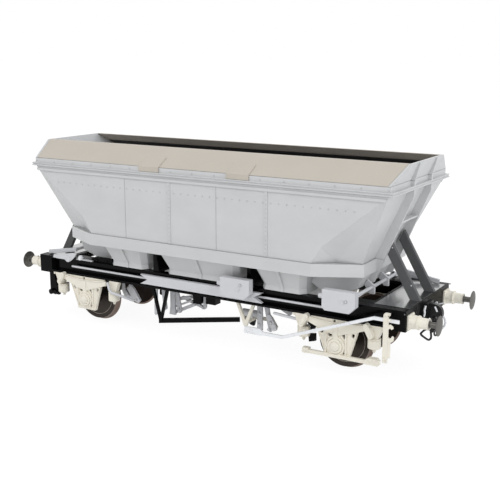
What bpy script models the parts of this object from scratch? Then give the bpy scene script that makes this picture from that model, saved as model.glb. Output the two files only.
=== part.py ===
# Gauge O model of a two-axle coal hopper wagon with a sloping canopy, in metres.
# +X runs along the wagon, +Y away from the viewer, +Z up; the origin is on the floor below its middle.
# The wagon looks the same after half a turn about Z, so each handed piece is made once and copied turned.
import math

import bmesh
import bpy
from mathutils import Matrix, Vector

for old in list(bpy.data.objects):
    bpy.data.objects.remove(old, do_unlink=True)

# Clearances and general values
FIT = 0.0001
SINK = 0.0002
OVERRUN = 0.001
ROUND_STEPS = 24
SMALL_ROUND_STEPS = 12
WHEEL_STEPS = 36
HALF_TURN = math.pi

# Hopper tub: half sizes at its top, at the fold's kink, at the corner's fold and at its foot
TUB_TOP_Z = 0.0723
TUB_KINK_Z = 0.0511
TUB_FOOT_Z = 0.0445
TUB_HALF_WIDTH = 0.0294
TUB_TOP_HALF_LENGTH = 0.0845
TUB_KINK_RUN = 0.0262
TUB_FOOT_RUN = 0.0305
TUB_FOLD_SHARE = 0.4457
TUB_FOLD_DEPTH = 0.0019
TUB_END_RUN = 0.0130
TUB_END_INSET = 0.0084
TUB_WALL = 0.0012
SEAM_STRIP_X = 0.0345
SEAM_STRIP_X_2 = 0.0115
SEAM_STRIP_WIDTH = 0.0013
SEAM_STRIP_DEPTH = 0.0003
SIDE_LIP_DROP = 0.0009
SIDE_LIP_HEIGHT = 0.0011
SIDE_LIP_DEPTH = 0.0005

# Waist band round the foot of the tub
BAND_HEIGHT = 0.0050
BAND_DEPTH = 0.0009

# Flange and kerb round the mouth of the tub, measured out from the tub
RAIL_OVERHANG_X = 0.0021
RAIL_OVERHANG_Y = 0.0006
RAIL_HEIGHT = 0.0014
RAIL_GROOVE = 0.0003
RAIL_LIP = 0.0004
KERB_HEIGHT = 0.0020
KERB_OUT_X = 0.0006
KERB_IN_Y = 0.0002

# Canopy: sloping sides and leaning ends above the kerb
CANOPY_RISE = 0.0070
CANOPY_SIDE_LEAN = 0.0117
CANOPY_END_LEAN = 0.0030
CANOPY_WALL = 0.0010
CANOPY_END_WALL = 0.0011
PATCH_CENTRE_X = 0.0216
PATCH_HALF_WIDTH = 0.0051
PATCH_DEPTH = 0.0006
PATCH_RISE_SHARE = 0.5
CANOPY_WEB_TOP_DEPTH = 0.0006

# Webs down the ends, at the canopy, the tub, the band and the base
END_WEB_Y = 0.0092
END_WEB_THICKNESS = 0.0010
WEB_KNEE_DROP = 0.0023
WEB_FOOT_DEPTH = 0.0042
STIFFENER_DROP = 0.0135
STIFFENER_HEIGHT = 0.0007
STIFFENER_INSET = 0.0004

# Liner: thin dark boards inside the sides
LINER_RISE_SHARE = 0.5
LINER_THICKNESS = 0.0005
LINER_END_GAP = 0.0012
LINER_FOOT_DROP = 0.0100

# Hopper base: tray, three pockets and end feet under the tub
BASE_FOOT_Z = 0.0298
POCKET_TOP_INSET = 0.0017
POCKET_LEAN = 0.0040
POCKET_LIP_HEIGHT = 0.0020
POCKET_LIP_OUT = 0.0003
POCKET_CORNER = 0.0022
POCKET_RIB_WIDTH = 0.0014
POCKET_RIB_DEPTH = 0.0012
POCKET_WALL = 0.0012
# Middle of each pocket along X, its half length at the top and at the foot, as shares of the tub's foot half length
POCKET_SHARES = [
    (-0.7185, 0.2204, 0.1796),
    (0.0, 0.3741, 0.3296),
    (0.7185, 0.2204, 0.1796),
]
FOOT_TOP_INSET = 0.0003
FOOT_MIDDLE_INSET = 0.0035
FOOT_MIDDLE_Z = 0.0334
FOOT_INSET = 0.0025
FOOT_LOW_INSET = 0.0155

# Chutes and their doors between the sole bars
CHUTE_INSET = 0.0054
CHUTE_FOOT_SHARE = 0.6
CHUTE_FOOT_Z = 0.0235

# Underframe
FRAME_TOP_Z = 0.0296
SOLEBAR_INSET = 0.0055
SOLEBAR_WEB = 0.0010
SOLEBAR_FLANGE = 0.0026
SOLEBAR_FOOT_Z = 0.0222
SOLEBAR_LIP = 0.0009
FRAME_OVERHANG = 0.0062
HEADSTOCK_THICKNESS = 0.0012
HEADSTOCK_FOOT_Z = 0.0216
HEADSTOCK_CHEEK = 0.0058
DECK_THICKNESS = 0.0010
DECK_LENGTH = 0.0157
DECK_TAIL_LENGTH = 0.0347
DECK_TAIL_WIDTH = 0.0045
BEARER_X_SHARE = 0.4352
BEARER_HALF = 0.0016
BEARER_TOP_Z = 0.0385
BEARER_TOP_HALF = 0.0006
BEARER_INSET = 0.0007
STRINGER_Y = 0.0105
STRINGER_WIDTH = 0.0016
STRINGER_HEIGHT = 0.0040

# End struts
STRUT_THICKNESS = 0.0018
STRUT_DEPTH = 0.0037
STRUT_FOOT_INSET = 0.0024
STRUT_TOP_OUT = 0.0058
STRUT_TOP_Z = 0.0487
STRUT_END_GAP = 0.0012

# Wheelsets
AXLE_INSET = 0.0277
TREAD_RADIUS = 0.0109
FLANGE_HEIGHT = 0.0010
FLANGE_WIDTH = 0.0010
FLANGE_ROOT_SHARE = 1.6
WHEEL_INSET = 0.0070
WHEEL_WIDTH = 0.0036
RIM_INNER_RADIUS = 0.0091
WEB_THICKNESS = 0.0016
HUB_RADIUS = 0.0030
HUB_PROUD = 0.0003
AXLE_RADIUS = 0.0015
AXLE_PROUD = 0.0049

# Axleguards, axleboxes and springs, seen along Y and centred on the axle
GUARD_OUT = 0.0002
GUARD_THICKNESS = 0.0010
GUARD_TOP_Z = 0.0221
GUARD_WING_HALF = 0.0124
GUARD_WING_Z = 0.0195
GUARD_SHOULDER_HALF = 0.0106
GUARD_SHOULDER_Z = 0.0188
GUARD_FOOT_HALF = 0.0062
GUARD_FOOT_Z = 0.0075
GUARD_HOLE_RADIUS = 0.0006
GUARD_HOLE_X = 0.0026
GUARD_HOLE_X_2 = 0.0063
GUARD_HOLE_Z = 0.0162
BOX_RADIUS = 0.0037
BOX_OUT = 0.0015
BOX_CAP_RADIUS = 0.0024
BOX_CAP_OUT = 0.0024
BOX_INSET = 0.0015
AXLE_SOCKET_RADIUS = 0.0018
SPRING_X = 0.0155
SPRING_INSET = 0.0014
SPRING_RADIUS = 0.0029
SPRING_TOP_Z = 0.0170
SPRING_FOOT_Z = 0.0134
SPRING_TIP_Z = 0.0114
DAMPER_TOP_X = 0.0129
DAMPER_TOP_Z = 0.0230
DAMPER_FOOT_X = 0.0150
DAMPER_RADIUS = 0.0014
HANGER_PLATE_THICKNESS = 0.0012
HANGER_OUTER_X = 0.0192
HANGER_FOOT_INNER_X = 0.0143
HANGER_FOOT_OUTER_X = 0.0172

# Beam under the right-hand axlebox of each side
BEAM_LEFT = 0.0135
BEAM_RIGHT = 0.0185
BEAM_FOOT_Z = 0.0073
BEAM_HEIGHT = 0.0017
BEAM_THICKNESS = 0.0013
BEAM_BLOCK_LENGTH = 0.0055
BEAM_BLOCK_HEIGHT = 0.0036
BEAM_LEFT_SHARE = 0.7

# Buffers
BUFFER_INSET = 0.00405
BUFFER_Z = 0.0249
BUFFER_BASE_HALF = 0.0029
BUFFER_BASE_THICKNESS = 0.0006
BUFFER_HOUSING_RADIUS = 0.0026
BUFFER_HOUSING_END_RADIUS = 0.0021
BUFFER_STEP_REACH = 0.0033
BUFFER_HOUSING_REACH = 0.0077
BUFFER_RAM_RADIUS = 0.0012
BUFFER_HEAD_RADIUS = 0.0040
BUFFER_REACH = 0.0117
BUFFER_HEAD_THICKNESS = 0.0006
BUFFER_RIB_WIDTH = 0.0005

# Screw coupling
HOOK_PLATE_HALF = 0.0030
HOOK_PLATE_THICKNESS = 0.0006
HOOK_Z = 0.0252
HOOK_REACH = 0.0034
HOOK_THICKNESS = 0.0012
LINK_RADIUS = 0.00045
LINK_HALF_WIDTH = 0.0022
LINK_REACH = 0.0030
SCREW_Z = 0.0193
SCREW_RADIUS = 0.0011
SHACKLE_FOOT_Z = 0.0126
SHACKLE_HALF_WIDTH = 0.0029
SHACKLE_LEAN = 0.0042

# Hose and pipe on each headstock
HOSE_RADIUS = 0.00045
HOSE_Y = 0.0080
HOSE_TOP_Z = 0.0212
HOSE_FOOT_Z = 0.0140
HOSE_REACH = 0.0040

# Plates and boxes on the sole bars
PLATE_HALF_LENGTH = 0.0305
PLATE_NOTCH_DEPTH = 0.0037
PLATE_FOOT_Z = 0.0241
PLATE_TOP_Z = 0.0282
PLATE_OUT = 0.0018
GEARBOX_INSET_X = 0.0175
GEARBOX_OUTER_INSET = 0.0318
GEARBOX_LENGTH = 0.0138
GEARBOX_FOOT_Z = 0.0256
GEARBOX_OUTER_RAISE = 0.0013
GEARBOX_TOP_Z = 0.0338
GEARBOX_OUT = 0.0055
GEARBOX_DEPTH = 0.0030
GEARBOX_CORNER = 0.0024
GEARBOX_RING_X_SHARE = 0.62
GEARBOX_RING_RADIUS = 0.0008
GEARBOX_RING_DEPTH = 0.0003
GEARBOX_KNOB_RADIUS = 0.0010
GEARBOX_KNOB_LENGTH = 0.0018
GEARBOX_KNOB_DROP = 0.0030
GEARBOX_BRACKET_LENGTH = 0.0060
ROD_Z = 0.0260
ROD_RADIUS = 0.0005
ROD_INSET_Y = 0.0007
ROD_INSET = 0.0190
ROD_RIGHT_INSET = 0.0297

# Door shaft across the frame at each end
SHAFT_OUT = 0.0001
SHAFT_Z = 0.0334
SHAFT_RADIUS = 0.0007
SHAFT_NEAR_OUT = 0.0014
SHAFT_FAR_INSET = 0.0034
FORK_NEAR_Y = 0.0113
FORK_FAR_Y = 0.0028
FORK_WIDTH = 0.0012
FORK_HALF = 0.0022
CRANK_REACH = 0.0161
CRANK_THICKNESS = 0.0012
CRANK_RISE_SHARE = 0.6
CRANK_DEPTH = 0.0017

# Hand brake on each side
LEVER_OUT = 0.0040
LEVER_THICKNESS = 0.0007
LEVER_DEPTH = 0.0013
LEVER_TAIL_X = 0.0236
LEVER_TAIL_Z = 0.0128
LEVER_CLEVIS_X = 0.0310
LEVER_CLEVIS_DEPTH = 0.0028
LEVER_ELBOW_X = 0.0412
LEVER_ELBOW_Z = 0.0124
LEVER_SHOULDER_INSET = 0.0111
LEVER_SHOULDER_Z = 0.0265
LEVER_TIP_INSET = 0.0011
LEVER_TIP_Z = 0.0264
POST_INSET = 0.0057
POST_HALF = 0.0010
POST_GAP = 0.0042
POST_OUT = 0.0052
POST_TOP_Z = 0.0289
POST_FOOT_Z = 0.0102
POST_HOOK = 0.0016
V_BLACK_X = -0.0222
V_CREAM_X = 0.0211
V_HALF = 0.0044
V_BAR = 0.0012
V_CROSS_SHARE = 0.8
V_CROSS_DROP = 0.0034
V_BLACK_FOOT_Z = 0.0075
V_CREAM_FOOT_Z = 0.0124
V_INSET = 0.0009
V_THICKNESS = 0.0012
BRACE_DEPTH = 0.0020
BRACE_END_X = 0.0062
BRACE_END_Y = -0.0028

# Brake link beside the left-hand wheel of each side: a curved hanger, a leaning plate and a bar from the axleguard
BRAKE_LINK_INSET = 0.0071
BRAKE_LINK_THICKNESS = 0.0012
BRAKE_LINK_WHEEL_GAP = 0.0038
BRAKE_LINK_DEPTH = 0.0020
BRAKE_LINK_TOP_ANGLE = 32
BRAKE_LINK_LOW_ANGLE = 2
BRAKE_LINK_PLATE_RUN = 0.0052
BRAKE_LINK_PLATE_WIDTH = 0.0026
BRAKE_LINK_PLATE_TOP_Z = 0.0200
BRAKE_LINK_FOOT_Z = 0.0126
PULL_BAR_RADIUS = 0.0006
PULL_BAR_START_X = 0.0184
PULL_BAR_Z = 0.0172

# Brake gear in the middle of each side: an upright plate and two crossed levers
RIGGING_INSET = 0.0099
RIGGING_THICKNESS = 0.0012
UPRIGHT_FOOT_Z = 0.0072
UPRIGHT_WIDTH = 0.0024
CROSS_LOW_Z = 0.0082
CROSS_TOP_Z = 0.0148
CROSS_RUN = 0.0140
CROSS_RISE = 0.0062
CROSS_END_Z = 0.0140
CROSS_DEPTH = 0.0015

# Cross shaft, tall plate and arm carried by each pale V hanger
GEAR_SHAFT_Z = 0.0138
GEAR_SHAFT_RADIUS = 0.0008
GEAR_PLATE_X = 0.0230
GEAR_PLATE_WIDTH = 0.0022
GEAR_PLATE_FOOT_Z = 0.0085
GEAR_PLATE_TOP_Z = 0.0212
GEAR_ARM_X = 0.0278
GEAR_ARM_FOOT_X = 0.0305
GEAR_ARM_FOOT_Z = 0.0105

# Dark bracket with two knobs behind the left-hand end of each headstock
BRACKET_INSET = 0.0043
BRACKET_THICKNESS = 0.0014
BRACKET_TOP_Z = 0.0215
BRACKET_FOOT_Z = 0.0097
BRACKET_TOP_WIDTH = 0.0022
BRACKET_FOOT_WIDTH = 0.0052
KNOB_RADIUS = 0.0013
KNOB_SMALL_SHARE = 0.8

# Places tied to the tub's length and width
TUB_KINK_HALF_LENGTH = TUB_TOP_HALF_LENGTH - TUB_KINK_RUN
TUB_FOOT_HALF_LENGTH = TUB_TOP_HALF_LENGTH - TUB_FOOT_RUN
TUB_END_HALF_LENGTH = TUB_TOP_HALF_LENGTH - TUB_END_RUN
TUB_END_HALF_WIDTH = TUB_HALF_WIDTH - TUB_END_INSET
TUB_FOLD_HALF_LENGTH = TUB_FOOT_HALF_LENGTH + (TUB_END_HALF_LENGTH - TUB_FOOT_HALF_LENGTH) * TUB_FOLD_SHARE
TUB_FOLD_HALF_WIDTH = TUB_HALF_WIDTH - (TUB_HALF_WIDTH - TUB_END_HALF_WIDTH) * TUB_FOLD_SHARE - TUB_FOLD_DEPTH
HEADSTOCK_X = TUB_TOP_HALF_LENGTH + FRAME_OVERHANG
SOLEBAR_Y = TUB_HALF_WIDTH - SOLEBAR_INSET
FOOT_TOP_X = TUB_END_HALF_LENGTH - FOOT_TOP_INSET
FOOT_MIDDLE_X = TUB_END_HALF_LENGTH - FOOT_MIDDLE_INSET
FOOT_LOW_X = TUB_END_HALF_LENGTH - FOOT_LOW_INSET
FOOT_HALF_WIDTH = TUB_END_HALF_WIDTH - FOOT_INSET
SHAFT_X = TUB_END_HALF_LENGTH + SHAFT_OUT
CRANK_X = SHAFT_X + CRANK_REACH
STRUT_TOP_X = TUB_END_HALF_LENGTH + STRUT_TOP_OUT
STRUT_FOOT_X = HEADSTOCK_X - STRUT_FOOT_INSET
AXLE_X = HEADSTOCK_X - AXLE_INSET
GEARBOX_OUTER_X = HEADSTOCK_X - GEARBOX_OUTER_INSET
ROD_RIGHT_X = HEADSTOCK_X - ROD_RIGHT_INSET
DECK_INNER_X = HEADSTOCK_X - DECK_LENGTH
DECK_TAIL_X = HEADSTOCK_X - DECK_TAIL_LENGTH
BUFFER_HOUSING_STEP_X = HEADSTOCK_X + BUFFER_STEP_REACH
BUFFER_HOUSING_END_X = HEADSTOCK_X + BUFFER_HOUSING_REACH
BUFFER_HEAD_X = HEADSTOCK_X + BUFFER_REACH
LINK_X = HEADSTOCK_X + LINK_REACH
LEVER_SHOULDER_X = HEADSTOCK_X - LEVER_SHOULDER_INSET
LEVER_TIP_X = HEADSTOCK_X - LEVER_TIP_INSET
POST_X = HEADSTOCK_X - POST_INSET
ROD_LEFT_X = HEADSTOCK_X - ROD_INSET
HEADSTOCK_HALF_WIDTH = SOLEBAR_Y
BEARER_Y = SOLEBAR_Y - BEARER_INSET
WHEEL_OUTER_Y = SOLEBAR_Y - WHEEL_INSET
HUB_OUTER_Y = WHEEL_OUTER_Y + HUB_PROUD
AXLE_END_Y = WHEEL_OUTER_Y + AXLE_PROUD
GUARD_Y = SOLEBAR_Y + GUARD_OUT
SPRING_Y = SOLEBAR_Y - SPRING_INSET
DAMPER_Y = SOLEBAR_Y + FIT + DAMPER_RADIUS
BOX_OUTER_Y = SOLEBAR_Y + BOX_OUT
BOX_CAP_OUTER_Y = SOLEBAR_Y + BOX_CAP_OUT
BOX_INNER_Y = SOLEBAR_Y - BOX_INSET
BUFFER_Y = SOLEBAR_Y - BUFFER_INSET
PLATE_OUTER_Y = SOLEBAR_Y + PLATE_OUT
GEARBOX_OUTER_Y = SOLEBAR_Y + GEARBOX_OUT
ROD_Y = SOLEBAR_Y - ROD_INSET_Y
SHAFT_NEAR_Y = SOLEBAR_Y + SHAFT_NEAR_OUT
SHAFT_FAR_Y = SOLEBAR_Y - SHAFT_FAR_INSET
LEVER_Y = SOLEBAR_Y + LEVER_OUT
POST_INNER_Y = SOLEBAR_Y + POST_GAP
POST_OUTER_Y = SOLEBAR_Y + POST_OUT
V_Y = SOLEBAR_Y - V_INSET
RIGGING_Y = SOLEBAR_Y - RIGGING_INSET
BRAKE_LINK_Y = SOLEBAR_Y - BRAKE_LINK_INSET
BRACKET_Y = SOLEBAR_Y - BRACKET_INSET
CHUTE_HALF_WIDTH = SOLEBAR_Y - CHUTE_INSET
BEARER_X = TUB_FOOT_HALF_LENGTH * BEARER_X_SHARE
POCKETS = [tuple(TUB_FOOT_HALF_LENGTH * share for share in row) for row in POCKET_SHARES]

# Colours: name, red, green, blue, roughness, metallic
PALETTE = {
    "grey": (0.53, 0.54, 0.55, 0.45, 0.0),
    "beige": (0.52, 0.49, 0.44, 0.5, 0.0),
    "black": (0.012, 0.012, 0.014, 0.4, 0.0),
    "cream": (0.74, 0.70, 0.60, 0.45, 0.0),
    "white": (0.8, 0.8, 0.8, 0.35, 0.0),
    "steel": (0.20, 0.16, 0.13, 0.35, 0.9),
    "silver": (0.72, 0.73, 0.75, 0.3, 0.3),
    "gunmetal": (0.10, 0.10, 0.09, 0.35, 0.6),
}

MATERIALS = {}
for colour_name, (red, green, blue, roughness, metallic) in PALETTE.items():
    material = bpy.data.materials.new(colour_name)
    material.use_nodes = True
    shader = material.node_tree.nodes["Principled BSDF"]
    shader.inputs["Base Color"].default_value = (red, green, blue, 1.0)
    shader.inputs["Roughness"].default_value = roughness
    shader.inputs["Metallic"].default_value = metallic
    MATERIALS[colour_name] = material

WAGON = bpy.data.objects.new("wagon_origin", None)
bpy.context.collection.objects.link(WAGON)


def closed(points, faces):
    """A closed mesh from points and faces, with its faces turned outward."""
    shape = bmesh.new()
    corners = [shape.verts.new(point) for point in points]
    for face in faces:
        shape.faces.new([corners[i] for i in face])
    bmesh.ops.recalc_face_normals(shape, faces=shape.faces)
    mesh = bpy.data.meshes.new("shape")
    shape.to_mesh(mesh)
    shape.free()
    return mesh


def loft(sections):
    """Joins a list of like-sided loops into a solid with flat caps."""
    sides = len(sections[0])
    points = [point for section in sections for point in section]
    faces = [list(range(sides)), list(range(len(points) - sides, len(points)))]
    for level in range(len(sections) - 1):
        for i in range(sides):
            j = (i + 1) % sides
            low = level * sides
            faces.append([low + i, low + j, low + sides + j, low + sides + i])
    return closed(points, faces)


def prism(outline, axis, low, high):
    """A flat outline drawn out along an axis: x outlines give (y, z), y give (x, z), z give (x, y)."""
    place = {
        "x": lambda a, b, c: (c, a, b),
        "y": lambda a, b, c: (a, c, b),
        "z": lambda a, b, c: (a, b, c),
    }[axis]
    return loft([[place(a, b, c) for a, b in outline] for c in (low, high)])


def block(x, y, z):
    """A box between two places on each axis."""
    return prism([(x[0], y[0]), (x[1], y[0]), (x[1], y[1]), (x[0], y[1])], "z", min(z), max(z))


def turned(profile, axis="y", steps=ROUND_STEPS, centre=(0, 0, 0)):
    """Turns a profile of (along the axis, radius) about an axis; its ends lie on the axis or are flat."""
    across = {"x": (1, 2, 0), "y": (2, 0, 1), "z": (0, 1, 2)}[axis]
    sections = []
    for along, radius in profile:
        section = []
        for i in range(steps):
            angle = 2 * math.pi * (i + 0.5) / steps
            point = [0, 0, 0]
            point[across[0]] = centre[across[0]] + radius * math.cos(angle)
            point[across[1]] = centre[across[1]] + radius * math.sin(angle)
            point[across[2]] = centre[across[2]] + along
            section.append(tuple(point))
        sections.append(section)
    return loft(sections)


def bar(start, end, width, depth, side=(0, 1, 0)):
    """A straight bar with its width along one side and its depth across it."""
    start, end = Vector(start), Vector(end)
    along = (end - start).normalized()
    wide = (Vector(side) - along * along.dot(Vector(side))).normalized() * (width / 2)
    deep = along.cross(wide).normalized() * (depth / 2)
    corners = [wide + deep, wide - deep, -wide - deep, -wide + deep]
    return loft([[tuple(end_point + corner) for corner in corners] for end_point in (start, end)])


def tube(route, radius, steps=8):
    """A round bar along a route of points, its joints mitred."""
    points = [Vector(point) for point in route]
    sections = []
    side = None
    for i, point in enumerate(points):
        back = points[max(i - 1, 0)]
        ahead = points[min(i + 1, len(points) - 1)]
        along = (ahead - back).normalized()
        if side is None:
            side = along.orthogonal()
        side = (side - along * along.dot(side)).normalized()
        other = along.cross(side)
        sections.append([
            tuple(point + (side * math.cos(2 * math.pi * k / steps)
                           + other * math.sin(2 * math.pi * k / steps)) * radius)
            for k in range(steps)
        ])
    return loft(sections)


def scratch(mesh):
    """A passing object for a Boolean."""
    piece = bpy.data.objects.new("scratch", mesh)
    bpy.context.collection.objects.link(piece)
    return piece


def combined(base, others, operation="UNION"):
    """The base mesh joined with, or cut by, the other meshes."""
    body = scratch(base)
    for other in others:
        tool = scratch(other)
        step = body.modifiers.new("step", "BOOLEAN")
        step.operation = operation
        step.solver = "EXACT"
        step.object = tool
        bpy.context.view_layer.update()
        made = bpy.data.meshes.new_from_object(body.evaluated_get(bpy.context.evaluated_depsgraph_get()))
        body.modifiers.clear()
        body.data = made
        bpy.data.objects.remove(tool, do_unlink=True)
    result = body.data
    bpy.data.objects.remove(body, do_unlink=True)
    return result


def node(name, mesh, colour, location=(0, 0, 0), half_turn=False, smooth=False):
    """A named sub-part with its own material."""
    if not mesh.materials:
        mesh.materials.append(MATERIALS[colour])
    if smooth:
        mesh.shade_smooth()
        mesh.set_sharp_from_angle(angle=math.radians(35))
    piece = bpy.data.objects.new(name, mesh)
    bpy.context.collection.objects.link(piece)
    piece.parent = WAGON
    piece.location = location
    piece.rotation_euler = (0, 0, HALF_TURN if half_turn else 0)
    return piece


def both_ends(name, mesh, colour, location=(0, 0, 0), smooth=False, names=("right", "left")):
    """One piece as drawn and its copy turned half round the wagon's middle."""
    node(name + "_" + names[0], mesh, colour, location, False, smooth)
    turned_place = (-location[0], -location[1], location[2])
    node(name + "_" + names[1], mesh, colour, turned_place, True, smooth)


def round_corners(quarter, z):
    """A loop of (x, y) places in one quarter, repeated in all four."""
    loop = []
    loop += [(x, y, z) for x, y in quarter]
    loop += [(x, -y, z) for x, y in reversed(quarter)]
    loop += [(-x, -y, z) for x, y in quarter]
    loop += [(-x, y, z) for x, y in reversed(quarter)]
    return loop


def waist(grow, z):
    """The waist band's outline: long sides, short ends and cut corners."""
    return round_corners([(TUB_FOOT_HALF_LENGTH + grow / 3, TUB_HALF_WIDTH + grow),
                          (TUB_END_HALF_LENGTH + grow, TUB_END_HALF_WIDTH + grow / 3)], z)


def tub_foot(z):
    """The foot outline of the tub, whose corners fold in behind the band."""
    return round_corners([(TUB_FOOT_HALF_LENGTH, TUB_HALF_WIDTH), (TUB_FOLD_HALF_LENGTH, TUB_FOLD_HALF_WIDTH),
                          (TUB_END_HALF_LENGTH, TUB_END_HALF_WIDTH)], z)


def ring(outer, inner):
    """A band between stacks of outer and inner loops, open at top and bottom."""
    sides = len(outer[0])
    points = [p for loop in outer for p in loop] + [p for loop in inner for p in loop]
    levels = len(outer)
    faces = []
    for start in (0, levels * sides):
        for level in range(levels - 1):
            for i in range(sides):
                j = (i + 1) % sides
                low = start + level * sides
                faces.append([low + i, low + j, low + sides + j, low + sides + i])
    for level in (0, levels - 1):
        for i in range(sides):
            j = (i + 1) % sides
            out_low = level * sides
            in_low = (levels + level) * sides
            faces.append([out_low + i, out_low + j, in_low + j, in_low + i])
    return closed(points, faces)


# Hopper tub: upright sides, sloping ends and folded lower corners
def tub_points(inset):
    rows = [
        (TUB_TOP_HALF_LENGTH, TUB_HALF_WIDTH, TUB_TOP_Z), (TUB_KINK_HALF_LENGTH, TUB_HALF_WIDTH, TUB_KINK_Z),
        (TUB_FOOT_HALF_LENGTH, TUB_HALF_WIDTH, TUB_FOOT_Z), (TUB_FOLD_HALF_LENGTH, TUB_FOLD_HALF_WIDTH, TUB_FOOT_Z),
        (TUB_END_HALF_LENGTH, TUB_END_HALF_WIDTH, TUB_FOOT_Z)]
    order = [(1, 1), (1, -1), (-1, -1), (-1, 1)]
    return [(sx * (x - inset), sy * (y - inset), z) for x, y, z in rows for sx, sy in order]


tub_corners = tub_points(0) + tub_points(TUB_WALL)
tub_faces = []
TOP, KINK, SIDE, FOLD, END, TUB_COUNT = 0, 4, 8, 12, 16, 20
for shell in (0, TUB_COUNT):
    for first, second in ((1, 2), (3, 0)):
        tub_faces.append([shell + TOP + first, shell + KINK + first, shell + SIDE + first,
                          shell + SIDE + second, shell + KINK + second, shell + TOP + second])
    for first, second in ((0, 1), (2, 3)):
        tub_faces.append([shell + TOP + first, shell + END + first, shell + END + second, shell + TOP + second])
    for corner in range(4):
        tub_faces.append([shell + TOP + corner, shell + KINK + corner, shell + FOLD + corner])
        tub_faces.append([shell + KINK + corner, shell + SIDE + corner, shell + FOLD + corner])
        tub_faces.append([shell + TOP + corner, shell + FOLD + corner, shell + END + corner])
for first in range(4):
    second = (first + 1) % 4
    tub_faces.append([TOP + first, TOP + second, TUB_COUNT + TOP + second, TUB_COUNT + TOP + first])
foot_loop = [SIDE + 0, FOLD + 0, END + 0, END + 1, FOLD + 1, SIDE + 1,
             SIDE + 2, FOLD + 2, END + 2, END + 3, FOLD + 3, SIDE + 3]
for i, first in enumerate(foot_loop):
    second = foot_loop[(i + 1) % len(foot_loop)]
    tub_faces.append([first, second, TUB_COUNT + second, TUB_COUNT + first])
tub = closed(tub_corners, tub_faces)

# Places shared by the tub, the flange, the kerb and the canopy
tub_slope = (TUB_TOP_HALF_LENGTH - TUB_END_HALF_LENGTH) / (TUB_TOP_Z - TUB_FOOT_Z)
RAIL_HALF_LENGTH = TUB_TOP_HALF_LENGTH + RAIL_OVERHANG_X
RAIL_HALF_WIDTH = TUB_HALF_WIDTH + RAIL_OVERHANG_Y
RAIL_FOOT_Z = TUB_TOP_Z + FIT
RAIL_TOP_Z = RAIL_FOOT_Z + RAIL_HEIGHT
KERB_TOP_Z = RAIL_TOP_Z + KERB_HEIGHT
KERB_HALF_LENGTH = TUB_TOP_HALF_LENGTH + KERB_OUT_X
KERB_HALF_WIDTH = TUB_HALF_WIDTH - KERB_IN_Y
web_knee_z = TUB_TOP_Z - WEB_KNEE_DROP
web_foot_x = TUB_END_HALF_LENGTH + WEB_FOOT_DEPTH
web_slope = (RAIL_HALF_LENGTH - web_foot_x) / (web_knee_z - TUB_FOOT_Z)


def end_x(z):
    """The outer face of the tub's sloping end at a height."""
    return TUB_END_HALF_LENGTH + tub_slope * (z - TUB_FOOT_Z)


def web_x(z):
    """The outer edge of the end webs at a height."""
    return web_foot_x + web_slope * (z - TUB_FOOT_Z)


def web_pair(outline):
    """Two upright webs at each end of the wagon, from one outline of (x, z)."""
    pieces = [prism(outline, "y", y - END_WEB_THICKNESS / 2, y + END_WEB_THICKNESS / 2) for y in (END_WEB_Y, -END_WEB_Y)]
    for mesh in list(pieces):
        other = mesh.copy()
        other.transform(Matrix.Rotation(HALF_TURN, 4, "Z"))
        pieces.append(other)
    return pieces


trim = []
lip_top_z = TUB_TOP_Z - SIDE_LIP_DROP
lip_foot_z = lip_top_z - SIDE_LIP_HEIGHT
for sy in (1, -1):
    for seam_x in (SEAM_STRIP_X, -SEAM_STRIP_X_2):
        x = seam_x if sy < 0 else -seam_x
        faces_y = sorted((sy * (TUB_HALF_WIDTH - SINK), sy * (TUB_HALF_WIDTH + SEAM_STRIP_DEPTH)))
        trim.append(block((x - SEAM_STRIP_WIDTH / 2, x + SEAM_STRIP_WIDTH / 2), faces_y, (TUB_FOOT_Z + FIT, lip_foot_z)))
    trim.append(prism([(-end_x(lip_foot_z), lip_foot_z), (end_x(lip_foot_z), lip_foot_z),
                       (end_x(lip_top_z), lip_top_z), (-end_x(lip_top_z), lip_top_z)], "y",
                      *sorted((sy * (TUB_HALF_WIDTH - SINK), sy * (TUB_HALF_WIDTH + SIDE_LIP_DEPTH)))))

# Webs down the sloping ends of the tub, with a shelf between them
trim += web_pair([
    (end_x(TUB_TOP_Z) - SINK, TUB_TOP_Z), (end_x(TUB_FOOT_Z) - SINK, TUB_FOOT_Z), (web_x(TUB_FOOT_Z), TUB_FOOT_Z),
    (RAIL_HALF_LENGTH, web_knee_z), (RAIL_HALF_LENGTH, TUB_TOP_Z)])
shelf_z = TUB_TOP_Z - STIFFENER_DROP
for side in (1, -1):
    trim.append(prism([
        (side * (end_x(shelf_z) - SINK), shelf_z), (side * (web_x(shelf_z) - STIFFENER_INSET), shelf_z),
        (side * (web_x(shelf_z) - STIFFENER_INSET), shelf_z + STIFFENER_HEIGHT),
        (side * (end_x(shelf_z + STIFFENER_HEIGHT) - SINK), shelf_z + STIFFENER_HEIGHT)], "y", -END_WEB_Y, END_WEB_Y))
node("hopper_tub", combined(tub, trim), "grey")

# Waist band, with the webs running on down across it
BAND_TOP_Z = TUB_FOOT_Z - FIT
BAND_FOOT_Z = BAND_TOP_Z - BAND_HEIGHT
band = ring([waist(BAND_DEPTH, BAND_FOOT_Z), waist(BAND_DEPTH, BAND_TOP_Z)],
            [waist(FIT, BAND_FOOT_Z), waist(FIT, BAND_TOP_Z)])
band_end_x = TUB_END_HALF_LENGTH + BAND_DEPTH - SINK
band_webs = web_pair([(band_end_x, BAND_FOOT_Z), (web_x(BAND_FOOT_Z), BAND_FOOT_Z), (web_x(BAND_TOP_Z), BAND_TOP_Z),
                      (band_end_x, BAND_TOP_Z)])
node("waist_band", combined(band, band_webs), "grey")

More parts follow.
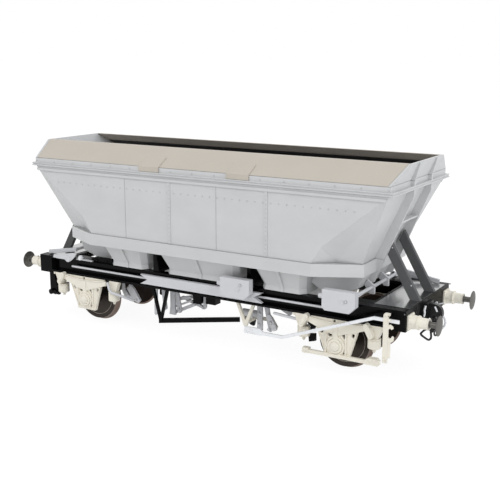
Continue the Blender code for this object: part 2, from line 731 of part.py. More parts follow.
# Hopper base: tray, three pockets a side with a rib each, end feet and chutes
tray = loft([tub_foot(BAND_FOOT_Z), tub_foot(BAND_TOP_Z)])
pocket_top_y = TUB_HALF_WIDTH - POCKET_TOP_INSET
pocket_foot_y = pocket_top_y - POCKET_LEAN
lip_z = BASE_FOOT_Z + POCKET_LIP_HEIGHT


def pocket_loop(middle, half, y, z, corner):
    """A long loop with cut corners round one pocket."""
    return [(middle + x, side_y, z) for x, side_y in (
        (half - corner, y), (half, y - corner), (half, corner - y), (half - corner, -y),
        (corner - half, -y), (-half, corner - y), (-half, y - corner), (corner - half, y))]


pockets = []
hollows = []
chutes = []
for middle, top_half, foot_half in POCKETS:
    pockets.append(loft([
        pocket_loop(middle, foot_half + POCKET_LIP_OUT, pocket_foot_y + POCKET_LIP_OUT, BASE_FOOT_Z, POCKET_CORNER),
        pocket_loop(middle, foot_half, pocket_foot_y, lip_z, POCKET_CORNER),
        pocket_loop(middle, top_half, pocket_top_y, BAND_FOOT_Z + SINK, POCKET_CORNER)]))
    hollows.append(loft([
        pocket_loop(middle, foot_half - POCKET_WALL, pocket_foot_y - POCKET_WALL, lip_z, POCKET_CORNER),
        pocket_loop(middle, top_half - POCKET_WALL, pocket_top_y - POCKET_WALL, BAND_TOP_Z + OVERRUN, POCKET_CORNER)]))
    for sy in (1, -1):
        pockets.append(loft([[(middle + sx * POCKET_RIB_WIDTH / 2, sy * (y + out), z)
                              for sx, out in ((-1, -SINK), (1, -SINK), (1, depth), (-1, depth))] for z, y, depth in (
                                  (BASE_FOOT_Z, pocket_foot_y, POCKET_LIP_OUT + SINK),
                                  (lip_z, pocket_foot_y, POCKET_LIP_OUT + SINK),
                                  (BAND_FOOT_Z + SINK, pocket_top_y, POCKET_RIB_DEPTH))]))
    chute_half = foot_half * CHUTE_FOOT_SHARE
    chutes.append(prism([
        (middle - foot_half, BASE_FOOT_Z + SINK), (middle + foot_half, BASE_FOOT_Z + SINK),
        (middle + chute_half, CHUTE_FOOT_Z), (middle - chute_half, CHUTE_FOOT_Z)], "y",
        -CHUTE_HALF_WIDTH, CHUTE_HALF_WIDTH))
foot_slope = (FOOT_TOP_X - FOOT_MIDDLE_X) / (BAND_FOOT_Z + SINK - FOOT_MIDDLE_Z)
web_low_z = SHAFT_Z + 2 * SHAFT_RADIUS + FIT
web_high_z = BAND_FOOT_Z - FIT
feet = web_pair([(FOOT_MIDDLE_X + foot_slope * (web_high_z - FOOT_MIDDLE_Z) - SINK, web_high_z),
                 (FOOT_MIDDLE_X + foot_slope * (web_low_z - FOOT_MIDDLE_Z) - SINK, web_low_z),
                 (web_x(web_low_z), web_low_z), (web_x(web_high_z), web_high_z)])
for side in (1, -1):
    feet.append(prism([(side * x, z) for x, z in (
        (FOOT_LOW_X, BASE_FOOT_Z), (FOOT_LOW_X + POCKET_WALL, BASE_FOOT_Z), (FOOT_MIDDLE_X, FOOT_MIDDLE_Z),
        (FOOT_TOP_X, BAND_FOOT_Z + SINK), (POCKETS[-1][0], BAND_FOOT_Z + SINK))], "y", -FOOT_HALF_WIDTH, FOOT_HALF_WIDTH))
base = combined(tray, pockets + feet + chutes)
node("hopper_base", combined(base, hollows, "DIFFERENCE"), "grey")


# Top rail: a grooved flange round the mouth with a kerb standing on it
def rail_loop(half_length, half_width, z):
    return [(half_length, half_width, z), (half_length, -half_width, z),
            (-half_length, -half_width, z), (-half_length, half_width, z)]


mouth = (TUB_TOP_HALF_LENGTH - TUB_WALL, TUB_HALF_WIDTH - TUB_WALL)
rail_levels = [
    (0, RAIL_FOOT_Z), (0, RAIL_FOOT_Z + RAIL_LIP), (RAIL_GROOVE, RAIL_FOOT_Z + RAIL_LIP + RAIL_GROOVE / 2),
    (RAIL_GROOVE, RAIL_TOP_Z - RAIL_LIP - RAIL_GROOVE / 2), (0, RAIL_TOP_Z - RAIL_LIP), (0, RAIL_TOP_Z)]
outer_loops = [rail_loop(RAIL_HALF_LENGTH - inset, RAIL_HALF_WIDTH - inset, z) for inset, z in rail_levels]
outer_loops += [rail_loop(KERB_HALF_LENGTH, KERB_HALF_WIDTH, z) for z in (RAIL_TOP_Z, KERB_TOP_Z)]
inner_loops = [rail_loop(*mouth, z) for z in [z for inset, z in rail_levels] + [RAIL_TOP_Z + KERB_HEIGHT / 2, KERB_TOP_Z]]
kerb_webs = web_pair([(KERB_HALF_LENGTH - SINK, RAIL_TOP_Z - SINK), (RAIL_HALF_LENGTH, RAIL_TOP_Z - SINK),
                      (RAIL_HALF_LENGTH, KERB_TOP_Z), (KERB_HALF_LENGTH - SINK, KERB_TOP_Z)])
node("top_rail", combined(ring(outer_loops, inner_loops), kerb_webs), "grey")

# Canopy: the sides lean in, the ends lean out, and all stand on the kerb
CANOPY_FOOT_Z = KERB_TOP_Z + FIT
RIM_Z = CANOPY_FOOT_Z + CANOPY_RISE
CANOPY_HALF_WIDTH = KERB_HALF_WIDTH
side_wall = CANOPY_WALL * math.hypot(CANOPY_RISE, CANOPY_SIDE_LEAN) / CANOPY_RISE


def canopy_y(z):
    """The outer face of the canopy's leaning side at a height."""
    return CANOPY_HALF_WIDTH - CANOPY_SIDE_LEAN * (z - CANOPY_FOOT_Z) / CANOPY_RISE


def canopy_x(z):
    """The outer face of the canopy's leaning end at a height."""
    return KERB_HALF_LENGTH + CANOPY_END_LEAN * (z - CANOPY_FOOT_Z) / CANOPY_RISE


def leaning_board(outer_gap, thickness, low_z, high_z, end_gap):
    """A board within the canopy's side, its ends following the leaning ends."""
    levels = []
    for z in (low_z, high_z):
        x = canopy_x(z) - CANOPY_END_WALL - end_gap
        y = outer_gap - canopy_y(z)
        levels.append([(-x, y, z), (x, y, z), (x, y + thickness, z), (-x, y + thickness, z)])
    return loft(levels)


canopy_side = leaning_board(0, side_wall, CANOPY_FOOT_Z, RIM_Z, FIT)
patches = []
patch_top_z = CANOPY_FOOT_Z + CANOPY_RISE * PATCH_RISE_SHARE
for sx in (1, -1):
    patches.append(prism([
        (-CANOPY_HALF_WIDTH - FIT, RAIL_TOP_Z + FIT), (-CANOPY_HALF_WIDTH - PATCH_DEPTH, RAIL_TOP_Z + FIT),
        (-CANOPY_HALF_WIDTH - PATCH_DEPTH, CANOPY_FOOT_Z), (-canopy_y(patch_top_z) - PATCH_DEPTH, patch_top_z),
        (-canopy_y(patch_top_z) + SINK, patch_top_z), (-CANOPY_HALF_WIDTH + SINK, CANOPY_FOOT_Z),
        (-CANOPY_HALF_WIDTH - FIT, CANOPY_FOOT_Z)], "x",
        sx * PATCH_CENTRE_X - PATCH_HALF_WIDTH, sx * PATCH_CENTRE_X + PATCH_HALF_WIDTH))
both_ends("canopy_side", combined(canopy_side, patches), "beige", names=("near", "far"))

end_levels = []
for z in (CANOPY_FOOT_Z, RIM_Z):
    x = canopy_x(z)
    y = canopy_y(z)
    end_levels.append([(x - CANOPY_END_WALL, -y, z), (x, -y, z), (x, y, z), (x - CANOPY_END_WALL, y, z)])
web_top_z = RIM_Z - SINK
end_webs = [prism([
    (canopy_x(CANOPY_FOOT_Z) - SINK, CANOPY_FOOT_Z), (RAIL_HALF_LENGTH, CANOPY_FOOT_Z),
    (canopy_x(web_top_z) + CANOPY_WEB_TOP_DEPTH, web_top_z), (canopy_x(web_top_z) - SINK, web_top_z)], "y",
    y - END_WEB_THICKNESS / 2, y + END_WEB_THICKNESS / 2) for y in (END_WEB_Y, -END_WEB_Y)]
both_ends("canopy_end", combined(loft(end_levels), end_webs), "grey")

# Liner boards inside the mouth: they lean with the canopy, then stand against the kerb and the tub
liner_top_z = CANOPY_FOOT_Z + CANOPY_RISE * LINER_RISE_SHARE
liner_foot_z = RAIL_FOOT_Z - LINER_FOOT_DROP
liner_top_y = canopy_y(liner_top_z) - side_wall - FIT
liner_low_y = min(TUB_HALF_WIDTH - TUB_WALL, CANOPY_HALF_WIDTH - side_wall) - FIT
liner_levels = []
for y, z in ((liner_low_y, liner_foot_z), (liner_low_y, CANOPY_FOOT_Z), (liner_top_y, liner_top_z)):
    x = min(end_x(z), canopy_x(z)) - TUB_WALL - LINER_END_GAP
    if z == liner_foot_z:
        x = TUB_KINK_HALF_LENGTH + (z - TUB_KINK_Z) * (TUB_TOP_HALF_LENGTH - TUB_KINK_HALF_LENGTH) / (
            TUB_TOP_Z - TUB_KINK_Z) - TUB_WALL - LINER_END_GAP
    liner_levels.append([(-x, -y, z), (x, -y, z), (x, LINER_THICKNESS - y, z), (-x, LINER_THICKNESS - y, z)])
both_ends("liner", loft(liner_levels), "black", names=("near", "far"))

# Sole bars: channels open outward
channel = [(-SOLEBAR_Y, SOLEBAR_FOOT_Z), (-SOLEBAR_Y, SOLEBAR_FOOT_Z + SOLEBAR_LIP),
           (-SOLEBAR_Y + SOLEBAR_FLANGE, SOLEBAR_FOOT_Z + SOLEBAR_LIP), (-SOLEBAR_Y + SOLEBAR_FLANGE, FRAME_TOP_Z - SOLEBAR_LIP),
           (-SOLEBAR_Y, FRAME_TOP_Z - SOLEBAR_LIP), (-SOLEBAR_Y, FRAME_TOP_Z),
           (-SOLEBAR_Y + SOLEBAR_FLANGE + SOLEBAR_WEB, FRAME_TOP_Z), (-SOLEBAR_Y + SOLEBAR_FLANGE + SOLEBAR_WEB, SOLEBAR_FOOT_Z)]
cheek_inner_x = HEADSTOCK_X - HEADSTOCK_THICKNESS - HEADSTOCK_CHEEK
solebars = [prism([(sy * y, z) for y, z in channel], "x", -cheek_inner_x + FIT, cheek_inner_x - FIT) for sy in (1, -1)]
bearers = [loft([
    [(x - half, -y, z), (x + half, -y, z), (x + half, y, z), (x - half, y, z)]
    for half, y, z in ((BEARER_HALF, BEARER_Y, FRAME_TOP_Z - SINK), (BEARER_TOP_HALF, BEARER_Y + OVERRUN, BEARER_TOP_Z))])
    for x in (-BEARER_X, BEARER_X)]
node("frame", combined(solebars[0], [bearers[0], solebars[1], bearers[1]]), "black")

# Headstocks: a plate with a cheek at each end and the end platform behind it, with a tail along each sole bar
headstock = block((HEADSTOCK_X - HEADSTOCK_THICKNESS, HEADSTOCK_X), (-HEADSTOCK_HALF_WIDTH, HEADSTOCK_HALF_WIDTH),
                  (HEADSTOCK_FOOT_Z, FRAME_TOP_Z))
channel_depth = SOLEBAR_FLANGE + SOLEBAR_WEB
cheeks = [block((cheek_inner_x, HEADSTOCK_X - HEADSTOCK_THICKNESS + SINK),
                sorted((sy * HEADSTOCK_HALF_WIDTH, sy * (HEADSTOCK_HALF_WIDTH - channel_depth))),
                (HEADSTOCK_FOOT_Z, FRAME_TOP_Z)) for sy in (1, -1)]
deck_half = SOLEBAR_Y - channel_depth - FIT
deck_outer_x = HEADSTOCK_X - HEADSTOCK_THICKNESS + SINK
deck = prism([
    (deck_outer_x, -deck_half), (deck_outer_x, deck_half), (DECK_TAIL_X, deck_half),
    (DECK_TAIL_X, deck_half - DECK_TAIL_WIDTH), (DECK_INNER_X, deck_half - DECK_TAIL_WIDTH),
    (DECK_INNER_X, -deck_half + DECK_TAIL_WIDTH), (DECK_TAIL_X, -deck_half + DECK_TAIL_WIDTH),
    (DECK_TAIL_X, -deck_half)], "z", FRAME_TOP_Z - DECK_THICKNESS, FRAME_TOP_Z)
stringers = [block((DECK_INNER_X, deck_outer_x), (y - STRINGER_WIDTH / 2, y + STRINGER_WIDTH / 2),
                   (FRAME_TOP_Z - STRINGER_HEIGHT, FRAME_TOP_Z - DECK_THICKNESS + SINK))
             for y in (STRINGER_Y, -STRINGER_Y)]
both_ends("headstock", combined(headstock, cheeks + [deck] + stringers), "black")

# End struts, from the deck up beside the inner faces of the end webs
STRUT_Y = END_WEB_Y - (END_WEB_THICKNESS + STRUT_THICKNESS) / 2 - FIT
strut_foot_z = FRAME_TOP_Z + FIT
strut_lean = (STRUT_TOP_X - STRUT_FOOT_X) / (STRUT_TOP_Z - strut_foot_z)
strut_half = STRUT_DEPTH * math.hypot(1, strut_lean) / 2


def strut_top(foot_x):
    """Where a long edge of the strut stops, a little short of the tub's sloping end."""
    stop_x = TUB_END_HALF_LENGTH + STRUT_END_GAP
    z = (foot_x - strut_lean * strut_foot_z - stop_x + tub_slope * TUB_FOOT_Z) / (tub_slope - strut_lean)
    return foot_x + strut_lean * (z - strut_foot_z), z


strut_edges = (STRUT_FOOT_X - strut_half, STRUT_FOOT_X + strut_half)
strut = prism([(strut_edges[0], strut_foot_z), (strut_edges[1], strut_foot_z), strut_top(strut_edges[1]),
               strut_top(strut_edges[0])], "y", -STRUT_THICKNESS / 2, STRUT_THICKNESS / 2)
for name, sy in (("near", -1), ("far", 1)):
    pair = ("right_" + name, "left_" + ("far" if sy < 0 else "near"))
    both_ends("strut", strut, "black", (0, sy * STRUT_Y, 0), names=pair)

# Wheelsets: one turned body each, tread to tread through the axle
inner_y = WHEEL_OUTER_Y - WHEEL_WIDTH
web_outer = WHEEL_OUTER_Y - (WHEEL_WIDTH - WEB_THICKNESS) / 2
web_inner = web_outer - WEB_THICKNESS
half_profile = [
    (inner_y, AXLE_RADIUS), (inner_y, HUB_RADIUS), (web_inner, HUB_RADIUS), (web_inner, RIM_INNER_RADIUS),
    (inner_y, RIM_INNER_RADIUS), (inner_y, TREAD_RADIUS + FLANGE_HEIGHT),
    (inner_y + FLANGE_WIDTH, TREAD_RADIUS + FLANGE_HEIGHT), (inner_y + FLANGE_WIDTH * FLANGE_ROOT_SHARE, TREAD_RADIUS),
    (WHEEL_OUTER_Y, TREAD_RADIUS), (WHEEL_OUTER_Y, RIM_INNER_RADIUS), (web_outer, RIM_INNER_RADIUS),
    (web_outer, HUB_RADIUS), (HUB_OUTER_Y, HUB_RADIUS), (HUB_OUTER_Y, AXLE_RADIUS), (AXLE_END_Y, AXLE_RADIUS)]
profile = [(-y, r) for y, r in reversed(half_profile)] + half_profile
wheelset = turned(profile, "y", WHEEL_STEPS)
AXLE_Z = TREAD_RADIUS + FLANGE_HEIGHT
for name, x in (("wheelset_left", -AXLE_X), ("wheelset_right", AXLE_X)):
    node(name, wheelset, "steel", (x, 0, AXLE_Z), smooth=True)

# Axleguards with axlebox, springs and dampers, drawn about the axle's X and the wagon's Y and Z
guard_low = -GUARD_Y - GUARD_THICKNESS / 2
guard_high = -GUARD_Y + GUARD_THICKNESS / 2
guard = prism([
    (-GUARD_FOOT_HALF, GUARD_FOOT_Z), (GUARD_FOOT_HALF, GUARD_FOOT_Z), (GUARD_SHOULDER_HALF, GUARD_SHOULDER_Z),
    (GUARD_WING_HALF, GUARD_WING_Z), (GUARD_WING_HALF, GUARD_TOP_Z), (-GUARD_WING_HALF, GUARD_TOP_Z),
    (-GUARD_WING_HALF, GUARD_WING_Z), (-GUARD_SHOULDER_HALF, GUARD_SHOULDER_Z)], "y", guard_low, guard_high)
holes = [turned([(guard_low - OVERRUN, GUARD_HOLE_RADIUS), (guard_high + OVERRUN, GUARD_HOLE_RADIUS)], "y", 8,
                (x, 0, GUARD_HOLE_Z)) for x in (-GUARD_HOLE_X_2, -GUARD_HOLE_X, GUARD_HOLE_X, GUARD_HOLE_X_2)]
guard = combined(guard, holes, "DIFFERENCE")
parts = [turned([(-BOX_CAP_OUTER_Y, BOX_CAP_RADIUS), (-BOX_OUTER_Y, BOX_CAP_RADIUS), (-BOX_OUTER_Y, BOX_RADIUS),
                 (-BOX_INNER_Y, BOX_RADIUS)], "y", ROUND_STEPS, (0, 0, AXLE_Z))]
for sx in (1, -1):
    parts.append(turned([(SPRING_TIP_Z, GUARD_HOLE_RADIUS), (SPRING_FOOT_Z - SINK, BOX_CAP_RADIUS / 2),
                         (SPRING_FOOT_Z, SPRING_RADIUS), (SPRING_TOP_Z, SPRING_RADIUS)], "z", 16,
                        (sx * SPRING_X, -SPRING_Y, 0)))
    parts.append(tube([(sx * DAMPER_FOOT_X, -DAMPER_Y + DAMPER_RADIUS / 2, SPRING_TOP_Z - SINK),
                       (sx * DAMPER_TOP_X, -DAMPER_Y, DAMPER_TOP_Z)], DAMPER_RADIUS, 10))
    hanger_y = (-GUARD_Y + GUARD_THICKNESS / 2 - SINK, -GUARD_Y + GUARD_THICKNESS / 2 + HANGER_PLATE_THICKNESS)
    parts.append(prism([(sx * (GUARD_SHOULDER_HALF - SINK), GUARD_WING_Z), (sx * HANGER_FOOT_INNER_X, SPRING_TOP_Z - SINK),
                        (sx * HANGER_FOOT_OUTER_X, SPRING_TOP_Z - SINK), (sx * HANGER_OUTER_X, GUARD_TOP_Z),
                        (sx * (GUARD_SHOULDER_HALF - SINK), GUARD_TOP_Z)], "y", *hanger_y))
guard = combined(guard, parts)
socket = turned([(-AXLE_END_Y - FIT - FIT, AXLE_SOCKET_RADIUS), (-BOX_INNER_Y + OVERRUN, AXLE_SOCKET_RADIUS)], "y",
                SMALL_ROUND_STEPS, (0, 0, AXLE_Z))
guard = combined(guard, [socket], "DIFFERENCE")
both_ends("axleguard", guard, "cream", (-AXLE_X, 0, 0), names=("near_left", "far_right"))

# Beam under the right-hand axlebox of each side, a block at each end
beam_inner_y = -GUARD_Y - GUARD_THICKNESS / 2 + SINK
beam_y = (beam_inner_y - BEAM_THICKNESS, beam_inner_y)
beam_ends = [block(sorted((end, end + inward)), beam_y, (BEAM_FOOT_Z, BEAM_FOOT_Z + BEAM_BLOCK_HEIGHT * share))
             for end, inward, share in ((-BEAM_LEFT, BEAM_BLOCK_LENGTH / 2, BEAM_LEFT_SHARE), (BEAM_RIGHT, -BEAM_BLOCK_LENGTH, 1))]
beam = block((SINK - BEAM_LEFT, BEAM_RIGHT - SINK), beam_y, (BEAM_FOOT_Z, BEAM_FOOT_Z + BEAM_HEIGHT))
both_ends("axleguard", combined(guard.copy(), [beam] + beam_ends), "cream", (AXLE_X, 0, 0), names=("near_right", "far_left"))

# Buffers: ribbed housing on a square base, then a ram with a round head, drawn about the buffer's own line
base_x = HEADSTOCK_X + FIT
housing = turned([(base_x + BUFFER_BASE_THICKNESS - SINK, BUFFER_HOUSING_RADIUS),
                  (BUFFER_HOUSING_STEP_X, BUFFER_HOUSING_RADIUS), (BUFFER_HOUSING_STEP_X, BUFFER_HOUSING_END_RADIUS),
                  (BUFFER_HOUSING_END_X, BUFFER_HOUSING_END_RADIUS)], "x", ROUND_STEPS)
base_plate = block((base_x, base_x + BUFFER_BASE_THICKNESS), (-BUFFER_BASE_HALF, BUFFER_BASE_HALF),
                   (-BUFFER_BASE_HALF, BUFFER_BASE_HALF))
rib_foot_x = base_x + BUFFER_BASE_THICKNESS - SINK
ribs = []
for turn in range(4):
    outline = [(rib_foot_x, BUFFER_HOUSING_RADIUS - SINK), (BUFFER_HOUSING_STEP_X - SINK, BUFFER_HOUSING_RADIUS - SINK),
               (rib_foot_x, BUFFER_BASE_HALF)]
    rib = prism(outline, "y", -BUFFER_RIB_WIDTH / 2, BUFFER_RIB_WIDTH / 2)
    rib.transform(Matrix.Rotation(turn * HALF_TURN / 2, 4, "X"))
    ribs.append(rib)
housing = combined(housing, [base_plate] + ribs)
head_face = BUFFER_HEAD_X - BUFFER_HEAD_THICKNESS
ram = turned([(BUFFER_HOUSING_END_X + FIT, BUFFER_RAM_RADIUS), (head_face - BUFFER_HEAD_THICKNESS, BUFFER_RAM_RADIUS),
              (head_face, BUFFER_HEAD_RADIUS), (BUFFER_HEAD_X, BUFFER_HEAD_RADIUS)], "x", ROUND_STEPS)
for row, sy in (("near", -1), ("far", 1)):
    pair = ("right_" + row, "left_" + ("far" if sy < 0 else "near"))
    both_ends("buffer_housing", housing, "cream", (0, sy * BUFFER_Y, BUFFER_Z), names=pair)
    both_ends("buffer_ram", ram, "gunmetal", (0, sy * BUFFER_Y, BUFFER_Z), names=pair, smooth=True)

# Screw coupling: hook plate, hook, side links, screw and hanging shackle
hook_plate = block((base_x, base_x + HOOK_PLATE_THICKNESS), (-HOOK_PLATE_HALF, HOOK_PLATE_HALF),
                   (HEADSTOCK_FOOT_Z + FIT, FRAME_TOP_Z - FIT))
hook_low = HOOK_Z - HOOK_THICKNESS
hook = prism([(base_x + HOOK_PLATE_THICKNESS - SINK, hook_low), (LINK_X + HOOK_THICKNESS, hook_low),
              (base_x + HOOK_REACH, HOOK_Z), (base_x + HOOK_REACH, HOOK_Z + 2 * HOOK_THICKNESS),
              (base_x + HOOK_REACH - HOOK_THICKNESS, HOOK_Z + 2 * HOOK_THICKNESS),
              (base_x + HOOK_REACH - HOOK_THICKNESS, HOOK_Z), (base_x + HOOK_PLATE_THICKNESS - SINK, HOOK_Z)], "y",
             -HOOK_THICKNESS / 2, HOOK_THICKNESS / 2)
links = tube([(LINK_X, -LINK_HALF_WIDTH, SCREW_Z), (LINK_X, -LINK_HALF_WIDTH, hook_low + LINK_RADIUS / 2),
              (LINK_X, LINK_HALF_WIDTH, hook_low + LINK_RADIUS / 2), (LINK_X, LINK_HALF_WIDTH, SCREW_Z)], LINK_RADIUS)
screw = turned([(-LINK_HALF_WIDTH - LINK_RADIUS, SCREW_RADIUS), (LINK_HALF_WIDTH + LINK_RADIUS, SCREW_RADIUS)], "y",
               SMALL_ROUND_STEPS, (LINK_X, 0, SCREW_Z))
shackle = tube([(LINK_X, -LINK_HALF_WIDTH, SCREW_Z), (LINK_X - SHACKLE_LEAN, -SHACKLE_HALF_WIDTH, SHACKLE_FOOT_Z),
                (LINK_X - SHACKLE_LEAN, SHACKLE_HALF_WIDTH, SHACKLE_FOOT_Z), (LINK_X, LINK_HALF_WIDTH, SCREW_Z)], LINK_RADIUS)
both_ends("coupling", combined(hook_plate, [hook, links, screw, shackle]), "black")

# A curved air hose under each headstock
hose_low_x = base_x + HOSE_RADIUS
hose_middle_z = (HOSE_TOP_Z + HOSE_FOOT_Z) / 2
hose_route = [(hose_low_x, HOSE_Y, FRAME_TOP_Z - HOSE_REACH), (hose_low_x, HOSE_Y, HEADSTOCK_FOOT_Z)]
for i in range(1, 9):
    angle = HALF_TURN * i / 8
    hose_route.append((hose_low_x + HOSE_REACH * math.sin(angle), HOSE_Y,
                       hose_middle_z + (HOSE_TOP_Z - HOSE_FOOT_Z) / 2 * math.cos(angle)))
both_ends("hose", tube(hose_route, HOSE_RADIUS), "white", smooth=True)

# Name plate with notched ends on each sole bar
plate_y = (-PLATE_OUTER_Y, -SOLEBAR_Y - FIT)
plate_middle_z = (PLATE_FOOT_Z + PLATE_TOP_Z) / 2
side_plate = prism([
    (-PLATE_HALF_LENGTH, PLATE_FOOT_Z), (PLATE_HALF_LENGTH, PLATE_FOOT_Z), (PLATE_HALF_LENGTH - PLATE_NOTCH_DEPTH, plate_middle_z),
    (PLATE_HALF_LENGTH, PLATE_TOP_Z), (-PLATE_HALF_LENGTH, PLATE_TOP_Z),
    (PLATE_NOTCH_DEPTH - PLATE_HALF_LENGTH, plate_middle_z)], "y", *plate_y)
both_ends("side_plate", side_plate, "grey", names=("near", "far"))

# Door gearboxes: a box with cut lower corners, a ring and a knob, on a bracket from the sole bar
ring_x = GEARBOX_LENGTH * GEARBOX_RING_X_SHARE
box_middle_y = -GEARBOX_OUTER_Y + GEARBOX_DEPTH / 2
GEARBOXES = [
    ("inner", PLATE_HALF_LENGTH - GEARBOX_INSET_X, 0),
    ("outer", GEARBOX_OUTER_X, GEARBOX_OUTER_RAISE),
]
for name, left_x, rise in GEARBOXES:
    foot_z = GEARBOX_FOOT_Z + rise
    top_z = GEARBOX_TOP_Z + rise
    gearbox = prism([
        (0, foot_z + GEARBOX_CORNER / 2), (GEARBOX_CORNER / 2, foot_z), (GEARBOX_LENGTH - GEARBOX_CORNER, foot_z),
        (GEARBOX_LENGTH, foot_z + GEARBOX_CORNER), (GEARBOX_LENGTH, top_z), (0, top_z)], "y",
        -GEARBOX_OUTER_Y, GEARBOX_DEPTH - GEARBOX_OUTER_Y)
    boss = turned([(-GEARBOX_OUTER_Y - GEARBOX_RING_DEPTH, GEARBOX_RING_RADIUS), (-GEARBOX_OUTER_Y + SINK, GEARBOX_RING_RADIUS)],
                  "y", SMALL_ROUND_STEPS, (ring_x, 0, (foot_z + top_z) / 2))
    knob = turned([(-GEARBOX_KNOB_LENGTH, GEARBOX_KNOB_RADIUS), (SINK, GEARBOX_KNOB_RADIUS)], "x", SMALL_ROUND_STEPS,
                  (0, box_middle_y, top_z - GEARBOX_KNOB_DROP))
    bracket_inner = GEARBOX_LENGTH / 2 - GEARBOX_BRACKET_LENGTH / 2
    bracket = block((bracket_inner, bracket_inner + GEARBOX_BRACKET_LENGTH),
                    (-GEARBOX_OUTER_Y + GEARBOX_DEPTH - SINK, -SOLEBAR_Y - FIT), (PLATE_TOP_Z + FIT, FRAME_TOP_Z))
    both_ends("gearbox", combined(gearbox, [boss, knob, bracket]), "grey", (left_x, 0, 0),
              names=("near_" + name, "far_" + name))

# Operating rod in the channel of each sole bar
both_ends("door_rod", tube([(-ROD_LEFT_X, -ROD_Y, ROD_Z), (ROD_RIGHT_X, -ROD_Y, ROD_Z)], ROD_RADIUS), "grey",
          names=("near", "far"))

# Door shaft across each end of the frame, carried in two forks, with a crank at its far end
shaft = tube([(SHAFT_X, -SHAFT_NEAR_Y, SHAFT_Z), (SHAFT_X, SHAFT_FAR_Y, SHAFT_Z)], SHAFT_RADIUS)
fork_low_z = SHAFT_Z + SHAFT_RADIUS
fork_high_z = fork_low_z + FORK_HALF
forks = [prism([
    (FOOT_MIDDLE_X + foot_slope * (fork_low_z - FOOT_MIDDLE_Z) + 2 * FIT, fork_low_z),
    (FOOT_MIDDLE_X + foot_slope * (fork_high_z - FOOT_MIDDLE_Z) + 2 * FIT, fork_high_z),
    (SHAFT_X + FORK_WIDTH, fork_low_z), (SHAFT_X + FORK_WIDTH, FRAME_TOP_Z + FORK_WIDTH),
    (SHAFT_X - SHAFT_RADIUS, FRAME_TOP_Z + FORK_WIDTH)], "y", -y - FORK_WIDTH / 2, -y + FORK_WIDTH / 2)
    for y in (FORK_NEAR_Y, -FORK_FAR_Y)]
crank = bar((SHAFT_X - SHAFT_RADIUS, SHAFT_FAR_Y, SHAFT_Z), (CRANK_X, SHAFT_FAR_Y, FRAME_TOP_Z + CRANK_DEPTH * CRANK_RISE_SHARE),
            CRANK_THICKNESS, CRANK_DEPTH)
both_ends("door_shaft", combined(shaft, forks + [crank]), "grey")

# Hand brake lever with a deep clevis at its tail, and the post that guides it
lever_half = LEVER_DEPTH / 2
clevis_half = LEVER_CLEVIS_DEPTH / 2
lever = prism([
    (LEVER_TAIL_X, LEVER_TAIL_Z - clevis_half), (LEVER_CLEVIS_X, LEVER_TAIL_Z - clevis_half),
    (LEVER_CLEVIS_X + clevis_half, LEVER_ELBOW_Z - lever_half), (LEVER_ELBOW_X, LEVER_ELBOW_Z - lever_half),
    (LEVER_SHOULDER_X, LEVER_SHOULDER_Z - lever_half), (LEVER_TIP_X, LEVER_TIP_Z - lever_half),
    (LEVER_TIP_X, LEVER_TIP_Z + lever_half), (LEVER_SHOULDER_X, LEVER_SHOULDER_Z + lever_half),
    (LEVER_ELBOW_X, LEVER_ELBOW_Z + lever_half), (LEVER_CLEVIS_X + clevis_half, LEVER_ELBOW_Z + lever_half),
    (LEVER_CLEVIS_X, LEVER_TAIL_Z + clevis_half), (LEVER_TAIL_X, LEVER_TAIL_Z + clevis_half)], "y",
    -LEVER_Y, -LEVER_Y + LEVER_THICKNESS)
both_ends("brake_lever", lever, "silver", names=("near", "far"))
post = block((POST_X - POST_HALF, POST_X + POST_HALF), (-POST_OUTER_Y, -POST_INNER_Y), (POST_FOOT_Z, POST_TOP_Z))
post_foot = block((POST_X - POST_HALF, POST_X + POST_HALF), (-POST_INNER_Y - SINK, -SOLEBAR_Y - FIT),
                  (POST_TOP_Z - POST_HOOK, POST_TOP_Z))
both_ends("lever_post", combined(post, [post_foot]), "cream", names=("near", "far"))


# V hangers: a dark one with a diagonal brace on the left, a pale one on the right
def vee(middle, foot_z, low_y, high_y):
    """Two arms from the sole bar down to one foot."""
    inner = V_HALF - V_BAR
    return prism([(middle - V_HALF, V_TOP_Z), (middle - V_BAR / 2, foot_z), (middle + V_BAR / 2, foot_z),
                  (middle + V_HALF, V_TOP_Z), (middle + inner, V_TOP_Z), (middle, foot_z + 2 * V_BAR),
                  (middle - inner, V_TOP_Z)], "y", low_y, high_y)


v_y = (-V_Y, -V_Y + V_THICKNESS)
V_TOP_Z = SOLEBAR_FOOT_Z - FIT
dark_v = vee(V_BLACK_X, V_BLACK_FOOT_Z, *v_y)
brace = bar((V_BLACK_X - V_BAR, -V_Y + V_THICKNESS / 2, V_BLACK_FOOT_Z), (BRACE_END_X, BRACE_END_Y, V_BLACK_FOOT_Z), V_THICKNESS,
            BRACE_DEPTH)
node("brake_hanger_near", combined(dark_v.copy(), [brace]), "black")
cross_half = V_HALF * V_CROSS_SHARE
cross_low_z = V_TOP_Z - V_CROSS_DROP
cross = block((V_BLACK_X - cross_half, V_BLACK_X + cross_half), v_y, (cross_low_z, cross_low_z + V_BAR))
stem = block((V_BLACK_X - V_BAR / 2, V_BLACK_X + V_BAR / 2), v_y, (V_BLACK_FOOT_Z, V_TOP_Z))
far_knob = turned([(v_y[0] - V_BAR, V_BAR), (v_y[1] - SINK, V_BAR)], "y", SMALL_ROUND_STEPS, (V_BLACK_X, 0, V_CREAM_FOOT_Z))
node("brake_hanger_far", combined(dark_v, [cross, stem, far_knob]), "black", half_turn=True)
pale_v = vee(V_CREAM_X, V_CREAM_FOOT_Z, *v_y)
gear_y = (-RIGGING_Y - RIGGING_THICKNESS / 2, -RIGGING_Y + RIGGING_THICKNESS / 2)
